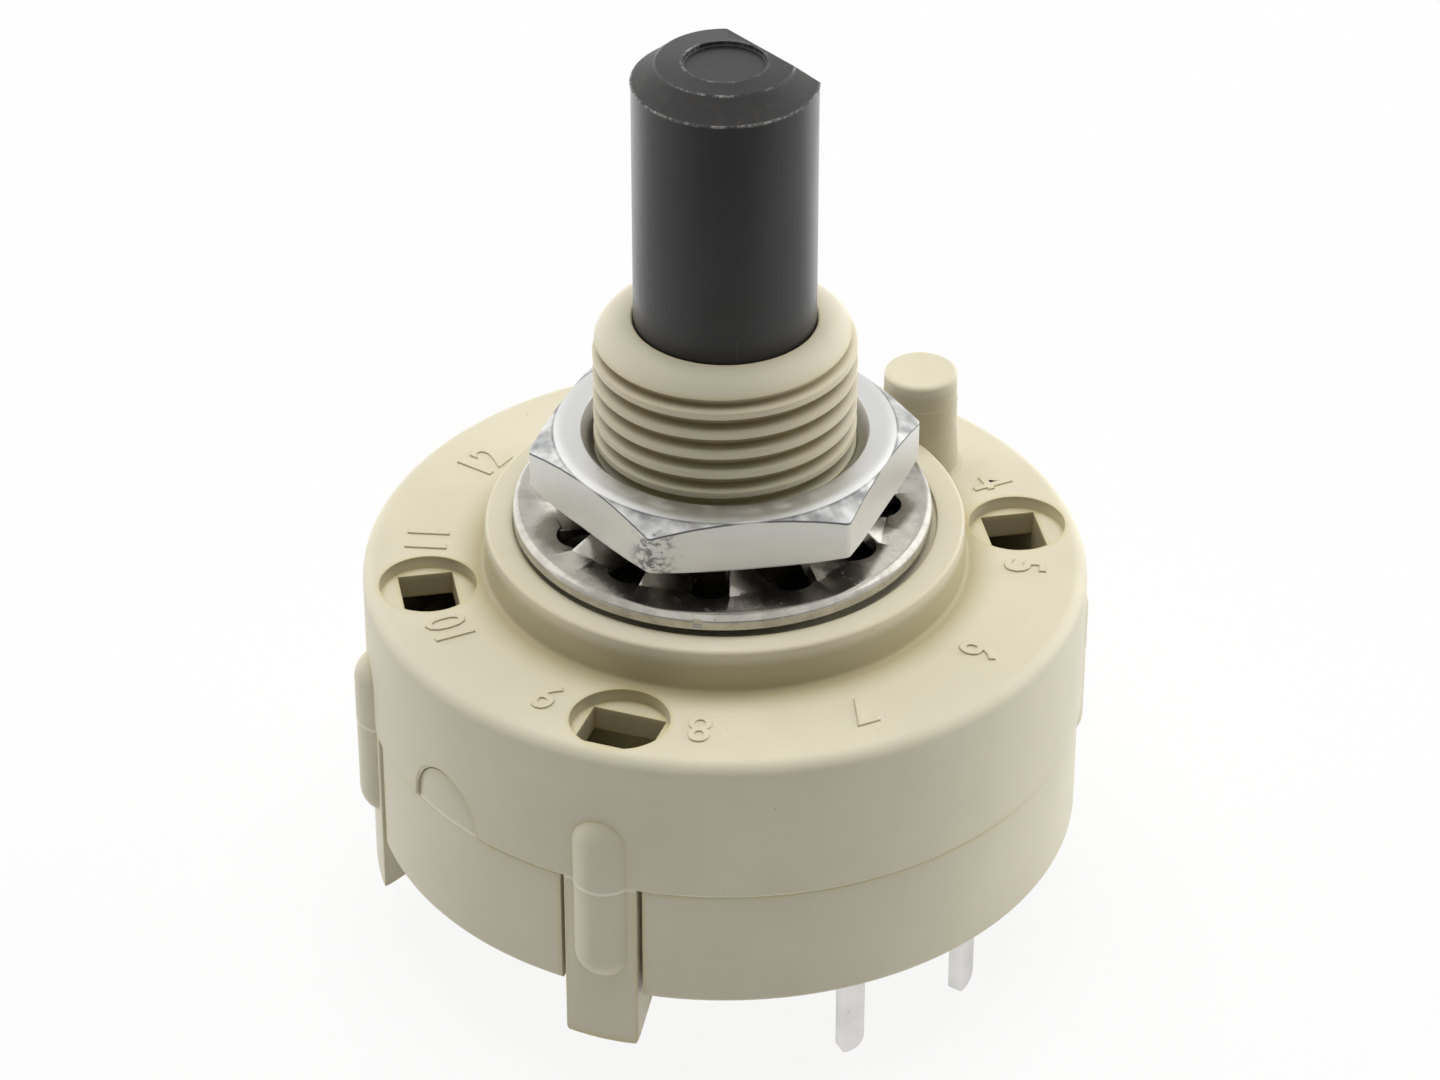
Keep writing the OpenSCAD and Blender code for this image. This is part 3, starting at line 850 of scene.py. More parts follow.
class Finish(Enum):
    """The finishes, by the record's slot names."""

    BEIGE_PLASTIC = MouldedPlastic()
    BLACK_PLASTIC = ShaftPlastic()
    ZINC_PLATED_STEEL = SpannerMarked("zinc_plated_steel", "d4d4d2", "c0c0bd", 0.37, mottle=0.15,
                                      lay=(0.6, 0.6, 3.0), relief=0.0013)
    NICKEL_PLATED_STEEL = Metal("nickel_plated_steel", "bab6ae", "7d776d", 0.2, scratches=0.16,
                                relief=0.006,
                                edge_radius=0.02)
    # Dark as blackened steel, and also as painted shade seen through the lock washer's windows.
    BLACKENED_STEEL = Metal("blackened_steel", "3b3a37", "22211f", 0.42, worn="6b6964", scratches=0.2)
    SPRING_STEEL = Metal("spring_steel", "a9abae", "7e8083", 0.3, lay=(2.0, 2.0, 2.0))
    BALL_STEEL = Metal("ball_steel", "d0d1d2", "b2b3b5", 0.12, mottle=0.3, scratches=0.08, relief=0.002)
    CONTACT_BRONZE = Metal("contact_bronze", "c68f57", "9c6a3c", 0.28, worn="e6bd88")
    SILVERED_BRASS = Metal("silvered_brass", "dcdbd7", "9d9a91", 0.34, mottle=0.2, lay=(0.6, 0.6, 3.0))

    @property
    def slot(self) -> str:
        """The record's slot name."""
        return self.value.name


class Paint:
    """Keeps one material for each finish."""

    made: dict[Finish, bpy.types.Material] = {}

    @classmethod
    def on(cls, piece: Piece, finish: Finish) -> None:
        """Gives a piece a finish, in place of whatever it had."""
        if finish not in cls.made:
            cls.made[finish] = finish.value.material()
        if not piece.material_slots:
            piece.data.materials.append(cls.made[finish])
        for holder in piece.material_slots:
            holder.material = cls.made[finish]


# ---------------------------------------------------------------- the switch

@dataclass
class Part:
    """A piece, or a set of like pieces, and where it belongs in the frame."""

    body: Body = Body.HOUSING
    finish: Finish = Finish.BEIGE_PLASTIC

    def deliver(self, piece: Piece, node: str, smooth_below: float = 32.0) -> Piece:
        """Finishes a piece and ties it to the frame.

        Args:
            piece: the piece.
            node: the frame's node that it stands for.
            smooth_below: the largest angle that is shaded smooth.

        Returns:
            The same piece.
        """
        Bench.finish(piece, smooth_below)
        Paint.on(piece, self.finish)
        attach(piece, self.body.value)
        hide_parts(node)
        log.info("%s: %d faces, rides on %s", piece.name, len(piece.data.polygons), self.body.value)
        return piece


@dataclass
class Housing(Part):
    """The front moulding: bush, boss, cup, snap legs, spigot, detent ring and raised numerals."""

    body_r: float = field(default_factory=lambda: reach_of("front_housing"))
    bush_top: float = field(default_factory=lambda: high_of("front_housing"))
    foot: float = field(default_factory=lambda: low_of("front_housing"))
    top: float = -1.65
    ceiling: float = -3.05
    parting: float = PARTING
    inner_r: float = 11.62
    edge_round: float = 0.5
    bevel: float = 0.14
    boss_r: float = 8.52
    seat_r: float = 7.5
    seat: float = -0.2
    bush_r: float = 4.6
    bush_round: float = 1.2
    bore_r: float = 3.2
    groove: tuple[float, float, float] = (4.8, 6.8, -1.2)
    ring: tuple[float, float, float] = (8.2, 9.37, -6.2)
    notch_r: float = 1.3
    notch_depth: float = 0.35
    leg_angles: tuple[float, ...] = (60, 120, 240, 300)
    leg_w: float = 2.64
    leg_in_r: float = 11.57
    leg_out_r: float = 12.84
    hook_r: float = 10.42
    hook_top: float = -11.85
    hook_t: float = 0.45
    rib_r: float = 1.1
    rib_at: float = 12.3
    rib_top: float = -4.3
    rib_end: float = -11.2
    sinking_r: float = 1.725
    sinking_depth: float = 0.5
    core: tuple[float, float, float] = (9.62, 11.57, 1.32)
    spigot_r: float = 1.35
    spigot_at: float = SPIGOT_AT
    spigot_top: float = 2.27
    arch_r: float = 1.65
    arch_rise: float = 0.3
    pitch: float = 0.794
    numeral_at: float = 10.66
    numeral_h: float = 1.5
    stop_angle: float = 195
    numeral_narrow: float = 0.85

    def cup(self) -> Piece:
        """The turned body: cup, boss, bush and detent ring."""
        groove_in, groove_out, roof = self.groove
        ring_in, ring_out, ring_end = self.ring
        mouth = (self.bush_r - self.bush_round, self.bush_top - self.bush_round)
        corner = (self.body_r - self.edge_round, self.top - self.edge_round)
        outline: Outline = [(self.bore_r, self.ceiling), (self.bore_r, self.bush_top - 0.08)]
        outline += [(self.bore_r + 0.06, self.bush_top), (mouth[0] - 0.04, self.bush_top)]
        outline += arc(mouth, self.bush_round, 90, 0, 14)
        outline += [(self.bush_r, mouth[1] - 0.06), (self.bush_r, self.seat)]
        outline += [(self.seat_r - 0.02, self.seat), (self.seat_r, self.seat + 0.02)]
        outline += arc((self.seat_r + 0.04, -0.04), 0.04, 180, 90, 3)
        outline += [(self.boss_r - 0.24, 0.0)]
        outline += arc((self.boss_r - 0.18, -0.14), 0.14, 90, 4, 6)
        outline += [(self.boss_r - 0.03, -0.2), (self.boss_r + 0.01, self.top + 0.24)]
        outline += arc((self.boss_r + 0.2, self.top + 0.18), 0.18, 184, 270, 6)
        outline += [(self.boss_r + 0.26, self.top), (corner[0] - 0.08, self.top)]
        outline += arc(corner, self.edge_round, 90, 0, 10)
        outline += [(self.body_r, corner[1] - 0.08), (self.body_r, self.parting + self.bevel + 0.05)]
        outline += [(self.body_r, self.parting + self.bevel), (self.body_r - self.bevel, self.parting)]
        outline += [(self.inner_r, self.parting), (self.inner_r, self.ceiling)]
        outline += [(ring_out, self.ceiling), (ring_out, ring_end), (ring_in, ring_end),
                    (ring_in, self.ceiling)]
        outline += [(groove_out, self.ceiling), (groove_out, roof), (groove_in, roof),
                    (groove_in, self.ceiling)]
        return Bench.turned("housing_moulding", outline)

    def leg(self) -> Piece:
        """One snap leg at angle 0: a bar with its hook, lower corners eased, and its rounded rib."""
        half = self.leg_w / 2
        top = self.top - self.edge_round
        side = [(self.body_r + 0.2, self.foot - 0.13), (self.body_r + 0.2, top), (self.leg_in_r, top)]
        side += [(self.leg_in_r, self.hook_top), (self.hook_r, self.hook_top)]
        side += [(self.hook_r, self.hook_top - self.hook_t)]
        bar = Bench.prism("leg", [Vector((r, -half, z)) for r, z in side], Vector((0, self.leg_w, 0)))
        middle = (top + self.foot) / 2
        front = rounded_box(half, (top - self.foot) / 2, (0.02, 0.02, 0.25, 0.25))
        face = Bench.prism("leg_front", [Vector((9, y, z + middle)) for y, z in front], Vector((5, 0, 0)))
        Bench.combine(bar, face, Cut.KEEP)
        drum = [(0, self.foot - 1), (self.leg_out_r, self.foot - 1), (self.leg_out_r, top + 1),
                (0, top + 1)]
        Bench.combine(bar, Bench.turned("leg_drum", drum, closed=False), Cut.KEEP)
        Bench.soften(bar, 0.06, sharper_than=50)
        return Bench.combine(bar, self.rib(), Cut.ADD)

    def rib(self) -> Piece:
        """A capsule that stands out of the leg, a hair thinner below the parting line."""
        low_r = self.rib_r - 0.02
        outline = [(0.0, self.rib_top)]
        outline += arc((0, self.rib_top - self.rib_r), self.rib_r, 90, 0, 14)[1:]
        outline += [(self.rib_r, self.parting + 0.01), (low_r, self.parting - 0.01)]
        outline += arc((0, self.rib_end + low_r), low_r, 0, -90, 14)[:-1] + [(0.0, self.rib_end)]
        rib = Bench.turned("rib", outline, steps=64, closed=False)
        Bench.shift(rib, x=self.rib_at)
        front = Bench.block("rib_front", (self.rib_at - 0.08, -2, -12), (self.rib_at + 2, 2, -3))
        return Bench.combine(rib, front, Cut.KEEP)

    def spigot(self) -> Piece:
        """The locating spigot, with a faint step and a drafted root."""
        radius, top = self.spigot_r, self.spigot_top
        outline = [(0.0, self.top - 0.4), (radius + 0.26, self.top - 0.4),
                   (radius + 0.26, self.top - 0.01)]
        outline += arc((radius + 0.26, self.top + 0.17), 0.18, 270, 182, 5)
        outline += [(radius + 0.02, -0.05), (radius, 0.05), (radius, top - 1.06),
                    (radius - 0.02, top - 1.03)]
        outline += [(radius - 0.03, top - 0.24)]
        outline += arc((radius - 0.19, top - 0.16), 0.16, 0, 90, 6)
        outline += [(radius - 0.26, top), (0.0, top)]
        return Bench.shift(Bench.turned("spigot", outline, steps=96, closed=False), y=self.spigot_at)

    def numerals(self) -> list[Piece]:
        """The raised position numbers, 1 to 12, each with its head outwards."""
        made = []
        for number in range(1, 13):
            angle = self.stop_angle - 30 * number
            numeral = Bench.numeral(str(number), self.numeral_h, self.numeral_narrow, 0.06)
            Bench.shift(numeral, y=self.numeral_at, z=self.top)
            made.append(Bench.turn(numeral, angle - 90))
        return made

    def thread(self) -> Piece:
        """The thread's groove as one helix, from the seat up to where it fades into the mouth."""
        groove = [(4.25, -0.05), (4.25, 0.05), (self.bush_r, 0.28), (self.bush_r + 0.2, 0.36)]
        groove += [(r, -z) for r, z in reversed(groove[2:])]
        start = self.seat + 0.543
        return Bench.screwed("thread", [(r, z + start) for r, z in groove], self.pitch, 10, 192)

    def cuts(self) -> list[Piece]:
        """Everything that is cut out of the moulding, as solids that don't touch, kind by kind."""
        ring_in, ring_end = self.ring[0], self.ring[2]
        notch_at = ring_in + self.notch_depth - self.notch_r
        marks = [self.stop_angle + 30 * k for k in range(12)]
        notch = [Vector((notch_at + x, y, ring_end - 1)) for x, y in circle_of(self.notch_r)]
        notches = Bench.prism("notch", notch, Vector((0, 0, self.ceiling - ring_end + 1)))
        slot = Bench.block("tab_slot", (6.2, -0.65, self.groove[2] - 1), (6.76, 0.65, 1))
        core_in, core_out, half = self.core
        middle = core_out - 0.93
        sinking = [Vector((middle + x, y, self.top - self.sinking_depth))
                   for x, y in arc((0, 0), self.sinking_r, 0, 355, 71)]
        round_part = Bench.prism("sinking", sinking, Vector((0, 0, 2)))
        window = Bench.block("core_hole", (core_in, -half, self.ceiling - 1),
                             (core_out, half, self.top + 1))
        return [
            Bench.joined(Bench.copies(notches, marks)),
            Bench.joined(Bench.copies(slot, marks[1:])),
            Bench.joined(Bench.copies(round_part, self.leg_angles)),
            Bench.joined(Bench.copies(window, self.leg_angles)),
        ]

    def arch(self, radius: float, start: float, length: float, taper: float = 1.0) -> Piece:
        """The arch over the key tab, as a prism that runs outwards along -Y.

        Args:
            radius: radius of its crown.
            start: where it starts from the axis.
            length: how far it runs.
            taper: how much larger its outer end is.

        Returns:
            The prism.
        """
        crown = self.parting + self.arch_rise
        outline = [(radius, -2.0)] + arc((0, 0), radius, 0, 180, 24) + [(-radius, -2.0)]
        points = [Vector((x, -start, z + crown)) for x, z in outline]
        return Bench.prism("arch", points, Vector((0, -length, 0)), taper,
                           Vector((0, -start - length, crown)))

    def build(self) -> Piece:
        """Models the moulding and ties it to the frame."""
        piece = self.cup()
        stop = Bench.prism("fixed_stop",
                           [Vector((r * math.cos(math.radians(a)), r * math.sin(math.radians(a)), -3.05))
                            for r, a in ((4.5, 190), (7.0, 190), (7.0, 200), (4.5, 200))],
                           Vector((0, 0, 2.0)))
        Bench.combine(piece, stop, Cut.ADD)
        for leg in Bench.copies(self.leg(), self.leg_angles):
            Bench.combine(piece, leg, Cut.ADD)
        Bench.combine(piece, self.spigot(), Cut.ADD)
        for cut in self.cuts():
            Bench.combine(piece, cut, Cut.REMOVE)
        Bench.combine(piece, self.arch(self.arch_r, self.inner_r - 1, 3), Cut.REMOVE)
        edge = self.body_r - self.bevel - 0.02
        Bench.combine(piece, self.arch(self.arch_r, edge, 0.42, 1 + 0.42 / self.arch_r), Cut.REMOVE)
        Bench.combine(piece, self.thread(), Cut.REMOVE)
        for numeral in self.numerals():
            Bench.combine(piece, numeral, Cut.ADD)
        return self.deliver(piece, "front_housing")


@dataclass
class TerminalBase(Part):
    """The rear moulding, snapped into the housing: cup, register lip, pivot boss and key tab."""

    base_r: float = field(default_factory=lambda: reach_of("terminal_base"))
    under: float = field(default_factory=lambda: low_of("terminal_base"))
    parting: float = PARTING
    floor: float = BASE_FLOOR
    cup_r: float = 10.67
    lip_r: float = 11.57
    lip_top: float = -6.3
    boss: tuple[float, float] = (3.2, -8.8)
    pivot: tuple[float, float] = (2.05, -10.9)
    leg_angles: tuple[float, ...] = (60, 120, 240, 300)
    leg_slot_w: float = 2.98
    leg_slot_r: float = 11.47
    blade_slot: tuple[float, float] = (BLADE_T + 0.2, BLADE_W + 0.1)
    funnel: tuple[float, float, float] = (0.62, 1.0, 0.3)
    ejector: tuple[float, float, float] = (8, 0.9, 0.08)
    outer_angles: tuple[float, ...] = PIN_ANGLES
    outer_at: float = PIN_CIRCLE
    common_angles: tuple[float, ...] = COMMON_ANGLES
    common_at: float = COMMON_CIRCLE
    tab_r: float = 1.62

    def cup(self) -> Piece:
        """The turned cup."""
        boss_r, boss_top = self.boss
        pivot_r, pivot_end = self.pivot
        outline = [(0.0, pivot_end), (pivot_r, pivot_end), (pivot_r, boss_top - 0.15),
                   (pivot_r + 0.15, boss_top)]
        outline += [(boss_r, boss_top), (boss_r, self.floor), (self.cup_r, self.floor)]
        outline += [(self.cup_r, self.lip_top + 0.1), (self.cup_r + 0.1, self.lip_top)]
        outline += [(self.lip_r - 0.2, self.lip_top), (self.lip_r, self.lip_top - 0.2),
                    (self.lip_r, self.parting)]
        outline += [(self.base_r - 0.02, self.parting), (self.base_r, self.parting - 0.02)]
        outline += [(self.base_r, self.parting - 0.1), (self.base_r, self.under + 0.26)]
        outline += arc((self.base_r - 0.2, self.under + 0.2), 0.2, 0, -90, 5)
        outline += [(self.base_r - 0.26, self.under), (2.3, self.under), (2.2, self.under + 0.1)]
        outline += [(0.6, self.under + 0.1), (0.5, self.under + 0.2), (0.0, self.under + 0.2)]
        return Bench.turned("base_moulding", outline, closed=False)

    def key_tab(self) -> Piece:
        """The tab that stands in the housing's arch, cut round like the base."""
        crown = self.parting + 0.3
        outline = [(self.tab_r, -0.8)] + arc((0, 0), self.tab_r, 0, 180, 24) + [(-self.tab_r, -0.8)]
        points = [Vector((x, -self.cup_r - 0.4, z + crown)) for x, z in outline]
        tab = Bench.prism("key_tab", points, Vector((0, -3, 0)))
        drum = [(0, -9), (self.base_r - 0.01, -9), (self.base_r - 0.01, -3), (0, -3)]
        Bench.combine(tab, Bench.turned("tab_drum", drum, closed=False), Cut.KEEP)
        return Bench.soften(tab, 0.03, sharper_than=50)

    def cuts(self) -> list[Piece]:
        """Slots for the legs and for the terminals, and shallow ejector marks underneath."""
        half = self.leg_slot_w / 2
        leg_slot = Bench.block("leg_slot", (self.leg_slot_r, -half, -13), (14, half, -5))
        thick, wide = self.blade_slot[0] / 2, self.blade_slot[1] / 2
        outer = Bench.block("pin_slot", (self.outer_at - thick, -wide, -13),
                            (self.outer_at + thick, wide, -9))
        common = Bench.block("pin_slot", (self.common_at - thick, -wide, -13),
                             (self.common_at + thick, wide, -9))
        long, broad, deep = self.funnel
        funnel, funnel_in = [
            Bench.block("pin_funnel", (at - long, -broad, self.under - 1),
                        (at + long, broad, self.under + deep))
            for at in (self.outer_at, self.common_at)]
        mark_at, mark_r, sunk = self.ejector
        mark = Bench.prism("ejector",
                           [Vector((mark_at + x, y, self.under - 1)) for x, y in circle_of(mark_r)],
                           Vector((0, 0, 1 + sunk)))
        sets = [(leg_slot, self.leg_angles), (outer, self.outer_angles), (common, self.common_angles)]
        sets += [(funnel, self.outer_angles), (funnel_in, self.common_angles), (mark, (0, 90, 180, 270))]
        return [Bench.joined(Bench.copies(piece, angles)) for piece, angles in sets]

    def build(self) -> Piece:
        """Models the base and ties it to the frame."""
        piece = self.cup()
        Bench.combine(piece, self.key_tab(), Cut.ADD)
        for cut in self.cuts():
            Bench.combine(piece, cut, Cut.REMOVE)
        return self.deliver(piece, "terminal_base")


@dataclass
class Rotor(Part):
    """The black spindle with its hidden hub: flange, stop lug, wiper cages, ball bore and pivot."""

    body: Body = Body.ROTOR
    finish: Finish = Finish.BLACK_PLASTIC
    end: float = field(default_factory=lambda: high_of("spindle"))
    pivot_end: float = field(default_factory=lambda: low_of("spindle"))
    flange_r: float = field(default_factory=lambda: reach_of("spindle"))
    shaft_r: float = 3.175
    shaft_foot: float = 8.2
    chamfer: tuple[float, float] = (0.81, 0.74)
    flat_at: float = 2.35
    recess_r: float = 1.42
    recess_depth: float = 0.15
    relief: tuple[float, float] = (2.905, 7.5)
    journal_r: float = 3.15
    hub: tuple[float, float, float] = (7.9, -3.25, -6.4)
    flange_end: float = -8.6
    pivot_r: float = 2.0
    lug: tuple[float, float, float] = (5.0, 6.6, -1.4)
    lug_half: float = 9.2
    pole_angles: tuple[float, ...] = (45, 225)
    cage: tuple[float, float, float] = (3.5, 1.6, -9.3)
    wiper_pocket: tuple[float, float, float] = (4.15, 8.65, 0.95)
    pocket_roof: float = -8.9
    well: tuple[float, float, float] = (6.4, 1.05, -6.8)
    ball_bore: tuple[float, float, float] = (135, 1.25, -5.0)

    def turning(self) -> Piece:
        """Everything that is round about the axis, the shaft's end with its moulding flash."""
        hub_r, hub_top, hub_end = self.hub
        relief_r, relief_foot = self.relief
        wide, high = self.chamfer
        shoulder = self.end - high
        face = self.end - 0.012
        outline = [(0.0, face - self.recess_depth), (self.recess_r - 0.03, face - self.recess_depth)]
        outline += [(self.recess_r, face - self.recess_depth + 0.03), (self.recess_r, self.end - 0.004)]
        outline += [(self.recess_r + 0.03, self.end), (self.recess_r + 0.07, self.end),
                    (self.recess_r + 0.1, face)]
        outline += [(self.shaft_r - wide - 0.05, face), (self.shaft_r - wide - 0.01, face - 0.015)]
        outline += [(self.shaft_r - wide + 0.03, face - 0.05), (self.shaft_r - 0.035, shoulder + 0.03)]
        outline += [(self.shaft_r + 0.02, shoulder + 0.015), (self.shaft_r + 0.03, shoulder - 0.01)]
        outline += [(self.shaft_r, shoulder - 0.04), (self.shaft_r, shoulder - 0.12),
                    (self.shaft_r, self.shaft_foot)]
        outline += [(relief_r, self.shaft_foot), (relief_r, relief_foot), (self.journal_r, relief_foot)]
        outline += [(self.journal_r, hub_top), (hub_r, hub_top), (hub_r, hub_end)]
        outline += [(self.flange_r, hub_end), (self.flange_r, self.flange_end),
                    (self.pivot_r, self.flange_end)]
        outline += [(self.pivot_r, self.pivot_end + 0.15), (self.pivot_r - 0.15, self.pivot_end),
                    (0.0, self.pivot_end)]
        return Bench.turned("rotor_spindle", outline, closed=False)

    def flat(self) -> list[Piece]:
        """What is cut away beside the flat, and the chamfer over it."""
        wide, high = self.chamfer
        shoulder = self.end - high
        beside = Bench.block("flat_cut", (-4, self.flat_at, self.shaft_foot), (4, 4.2, self.end + 1))
        slope = [(self.flat_at + 1, shoulder), (self.flat_at, shoulder), (self.flat_at - wide, self.end)]
        slope += [(self.flat_at - wide, self.end + 1), (self.flat_at + 1, self.end + 1)]
        over = Bench.prism("flat_chamfer", [Vector((-4, y, z)) for y, z in slope], Vector((8, 0, 0)))
        return [beside, over]

    def drive(self) -> list[Piece]:
        """The stop lug and the two cages that carry the wipers."""
        lug_in, lug_out, lug_top = self.lug
        corners = arc((0, 0), lug_out, 180 - self.lug_half, 180 + self.lug_half, 6)
        corners += arc((0, 0), lug_in, 180 + self.lug_half, 180 - self.lug_half, 6)
        lug = Bench.prism("stop_lug", [Vector((x, y, -3.65)) for x, y in corners],
                          Vector((0, 0, lug_top + 3.65)))
        cage_in, half, cage_end = self.cage
        cage = Bench.block("cage", (cage_in, -half, cage_end),
                           (self.flange_r - 0.02, half, self.flange_end + 0.4))
        return [lug, *Bench.copies(cage, self.pole_angles)]

    def hollows(self) -> list[Piece]:
        """Ball bore, wiper pockets and spring wells."""
        angle, bore_r, level = self.ball_bore
        bore = Bench.prism("ball_bore", [Vector((-10, y, z + level)) for y, z in circle_of(bore_r)],
                           Vector((20, 0, 0)))
        start, stop, half = self.wiper_pocket
        pocket = Bench.block("wiper_pocket", (start, -half, -10), (stop, half, self.pocket_roof))
        well_at, well_r, well_top = self.well
        circle = [Vector((well_at + x, y, -10)) for x, y in circle_of(well_r)]
        well = Bench.prism("spring_well", circle, Vector((0, 0, well_top + 10)))
        pockets = Bench.joined(Bench.copies(pocket, self.pole_angles))
        return [Bench.turn(bore, angle), pockets, Bench.joined(Bench.copies(well, self.pole_angles))]

    def build(self) -> Piece:
        """Models the spindle and ties it to the frame."""
        piece = self.turning()
        for tool in self.flat():
            Bench.combine(piece, tool, Cut.REMOVE)
        for tool in self.drive():
            Bench.combine(piece, tool, Cut.ADD)
        for tool in self.hollows():
            Bench.combine(piece, tool, Cut.REMOVE)
        return self.deliver(piece, "spindle")


@dataclass
class PanelNut(Part):
    """The hexagon nut, chamfered on top, with a countersunk thread."""

    finish: Finish = Finish.ZINC_PLATED_STEEL
    low: float = field(default_factory=lambda: low_of("hex_nut"))
    high: float = field(default_factory=lambda: high_of("hex_nut"))
    across_flats: float = 12.0
    corner_angle: float = 57.6
    chamfer_r: float = 5.85
    chamfer_angle: float = 23.0
    bore_r: float = 4.62
    sink: tuple[float, float] = (5.04, 0.5)

    def build(self) -> Piece:
        """Models the nut and ties it to the frame."""
        corner_r = self.across_flats / 2 / math.cos(math.radians(30))
        corners = arc((0, 0), corner_r, self.corner_angle, self.corner_angle + 300, 5)
        piece = Bench.prism("panel_nut", [Vector((x, y, self.low)) for x, y in corners],
                            Vector((0, 0, self.high - self.low)))
        Bench.soften(piece, 0.12, sharper_than=50, segments=3)
        slope = math.tan(math.radians(self.chamfer_angle))
        rim_r = corner_r + 0.4
        blank = [(0.0, self.low), (self.chamfer_r - 0.1, self.low),
                 (self.chamfer_r + 0.1, self.low + 0.02)]
        blank += [(rim_r, self.low + 0.3), (rim_r, self.high - (rim_r - self.chamfer_r) * slope)]
        for out, down in ((0.26, 0.26 * slope), (0.14, 0.075), (0.02, 0.036), (-0.12, 0.01),
                          (-0.26, 0.0)):
            blank.append((self.chamfer_r + out, self.high - down))
        blank.append((0.0, self.high))
        Bench.combine(piece, Bench.turned("nut_blank", blank, closed=False), Cut.KEEP)
        sink_r, sink_depth = self.sink
        bore = [(0.0, self.low - 1), (self.bore_r, self.low - 1), (self.bore_r, self.high - sink_depth)]
        bore += [(sink_r - 0.03, self.high - 0.04), (sink_r + 0.05, self.high + 0.02),
                 (sink_r + 0.05, self.high + 1)]
        bore += [(0.0, self.high + 1)]
        Bench.combine(piece, Bench.turned("nut_bore", bore, closed=False), Cut.REMOVE)
        return self.deliver(piece, "hex_nut", smooth_below=25)


@dataclass
class ToothedWasher(Part):
    """The lock washer: a rolled rim with twelve twisted inner teeth."""

    finish: Finish = Finish.NICKEL_PLATED_STEEL
    low: float = field(default_factory=lambda: low_of("lock_washer"))
    top: float = field(default_factory=lambda: high_of("lock_washer"))
    rim_out: float = field(default_factory=lambda: reach_of("lock_washer"))
    rim_in: float = 5.85
    root: float = 6.15
    thick: float = 0.6
    edge: float = 0.26
    teeth: int = 12
    gap: tuple[float, float] = (5.45, 0.86)
    tooth_in: float = 4.75
    tooth_w: float = 1.8
    tooth_t: float = 0.5
    twist: float = 31.0
    taper: float = 0.1
    off_centre: tuple[float, float] = (0.036, -0.15)

    def rim(self) -> Piece:
        """The ring, its edges rounded, with a small nick in its outer edge."""
        high = self.low + self.thick
        edge = self.edge
        outline = [(self.rim_in, self.low), (self.rim_out - 0.06, self.low),
                   (self.rim_out, self.low + 0.06)]
        outline += [(self.rim_out, high - edge - 0.05)]
        outline += arc((self.rim_out - edge, high - edge), edge, 0, 90, 8)
        outline += [(self.rim_out - edge - 0.05, high), (self.rim_in + 0.1, high),
                    (self.rim_in, high - 0.1)]
        ring = Bench.turned("toothed_washer", outline)
        nick = Bench.block("nick", (self.rim_out - 0.12, -0.15, self.low + 0.12),
                           (self.rim_out + 0.3, 0.15, high - 0.14))
        Bench.combine(ring, Bench.turn(nick, 312.9), Cut.REMOVE)
        gap_at, gap_r = self.gap
        hole = [Vector((gap_at + x, y, self.low - 1)) for x, y in circle_of(gap_r)]
        gap = Bench.prism("tooth_gap", hole, Vector((0, 0, 3)))
        between = [360 * (i + 0.5) / self.teeth for i in range(self.teeth)]
        return Bench.combine(ring, Bench.joined(Bench.copies(gap, between)), Cut.REMOVE)

    def tooth(self) -> Piece:
        """One tooth at angle 0: it narrows, rises and twists from the rim inwards."""
        length = self.root - self.tooth_in
        half, thick = self.tooth_w / 2, self.tooth_t / 2
        tooth = Bench.block("tooth", (-length, -half, -thick), (0, half, thick))
        with Bench.editing(tooth):
            bpy.ops.mesh.subdivide(number_cuts=9)
        Bench.apply(tooth, "SIMPLE_DEFORM", deform_method="TAPER", deform_axis="X", factor=self.taper)
        Bench.soften(tooth, 0.07, sharper_than=50)
        Bench.apply(tooth, "SIMPLE_DEFORM", deform_method="TWIST", deform_axis="X",
                    angle=math.radians(self.twist))
        middle = (self.low + self.top) / 2
        rise = middle - (self.low + self.thick / 2)
        tooth.rotation_euler = (0, math.atan(rise / length), 0)
        Bench.settle(tooth)
        return Bench.shift(tooth, x=self.root, z=self.low + self.thick / 2)

    def build(self) -> Piece:
        """Models the washer and ties it to the frame."""
        piece = self.rim()
        for tooth in Bench.copies(self.tooth(), [360 * i / self.teeth for i in range(self.teeth)]):
            Bench.combine(piece, tooth, Cut.ADD)
        Bench.shift(piece, *self.off_centre)
        return self.deliver(piece, "lock_washer")


@dataclass
class PositionStop(Part):
    """The black stop washer, whose tab turns down through a slot in the boss."""

    # Its dark finish is blackened steel and also stands as painted shade in the lock washer's windows
    # under the nut.
    finish: Finish = Finish.BLACKENED_STEEL
    low: float = -0.2
    high: float = field(default_factory=lambda: high_of("stop_washer"))
    tab_end: float = field(default_factory=lambda: low_of("stop_washer"))
    outer_r: float = 6.7
    bore_r: float = 4.75
    tab: tuple[float, float, float] = (6.28, 6.68, 1.1)
    tab_angle: float = 105

    def build(self) -> Piece:
        """Models the stop washer and ties it to the frame."""
        edge = 0.05
        outline = [(self.bore_r, self.low + edge), (self.bore_r + edge, self.low),
                   (self.outer_r - edge, self.low)]
        outline += [(self.outer_r, self.low + edge), (self.outer_r, self.high - 0.1),
                    (self.outer_r - 0.1, self.high)]
        outline += [(self.bore_r + edge, self.high), (self.bore_r, self.high - edge)]
        piece = Bench.turned("position_stop", outline)
        tab_in, tab_out, wide = self.tab
        tab = Bench.block("tab", (tab_in, -wide / 2, self.tab_end), (tab_out, wide / 2, self.high - 0.12))
        Bench.soften(tab, 0.08, sharper_than=50)
        Bench.combine(piece, Bench.turn(tab, self.tab_angle), Cut.ADD)
        return self.deliver(piece, "stop_washer")


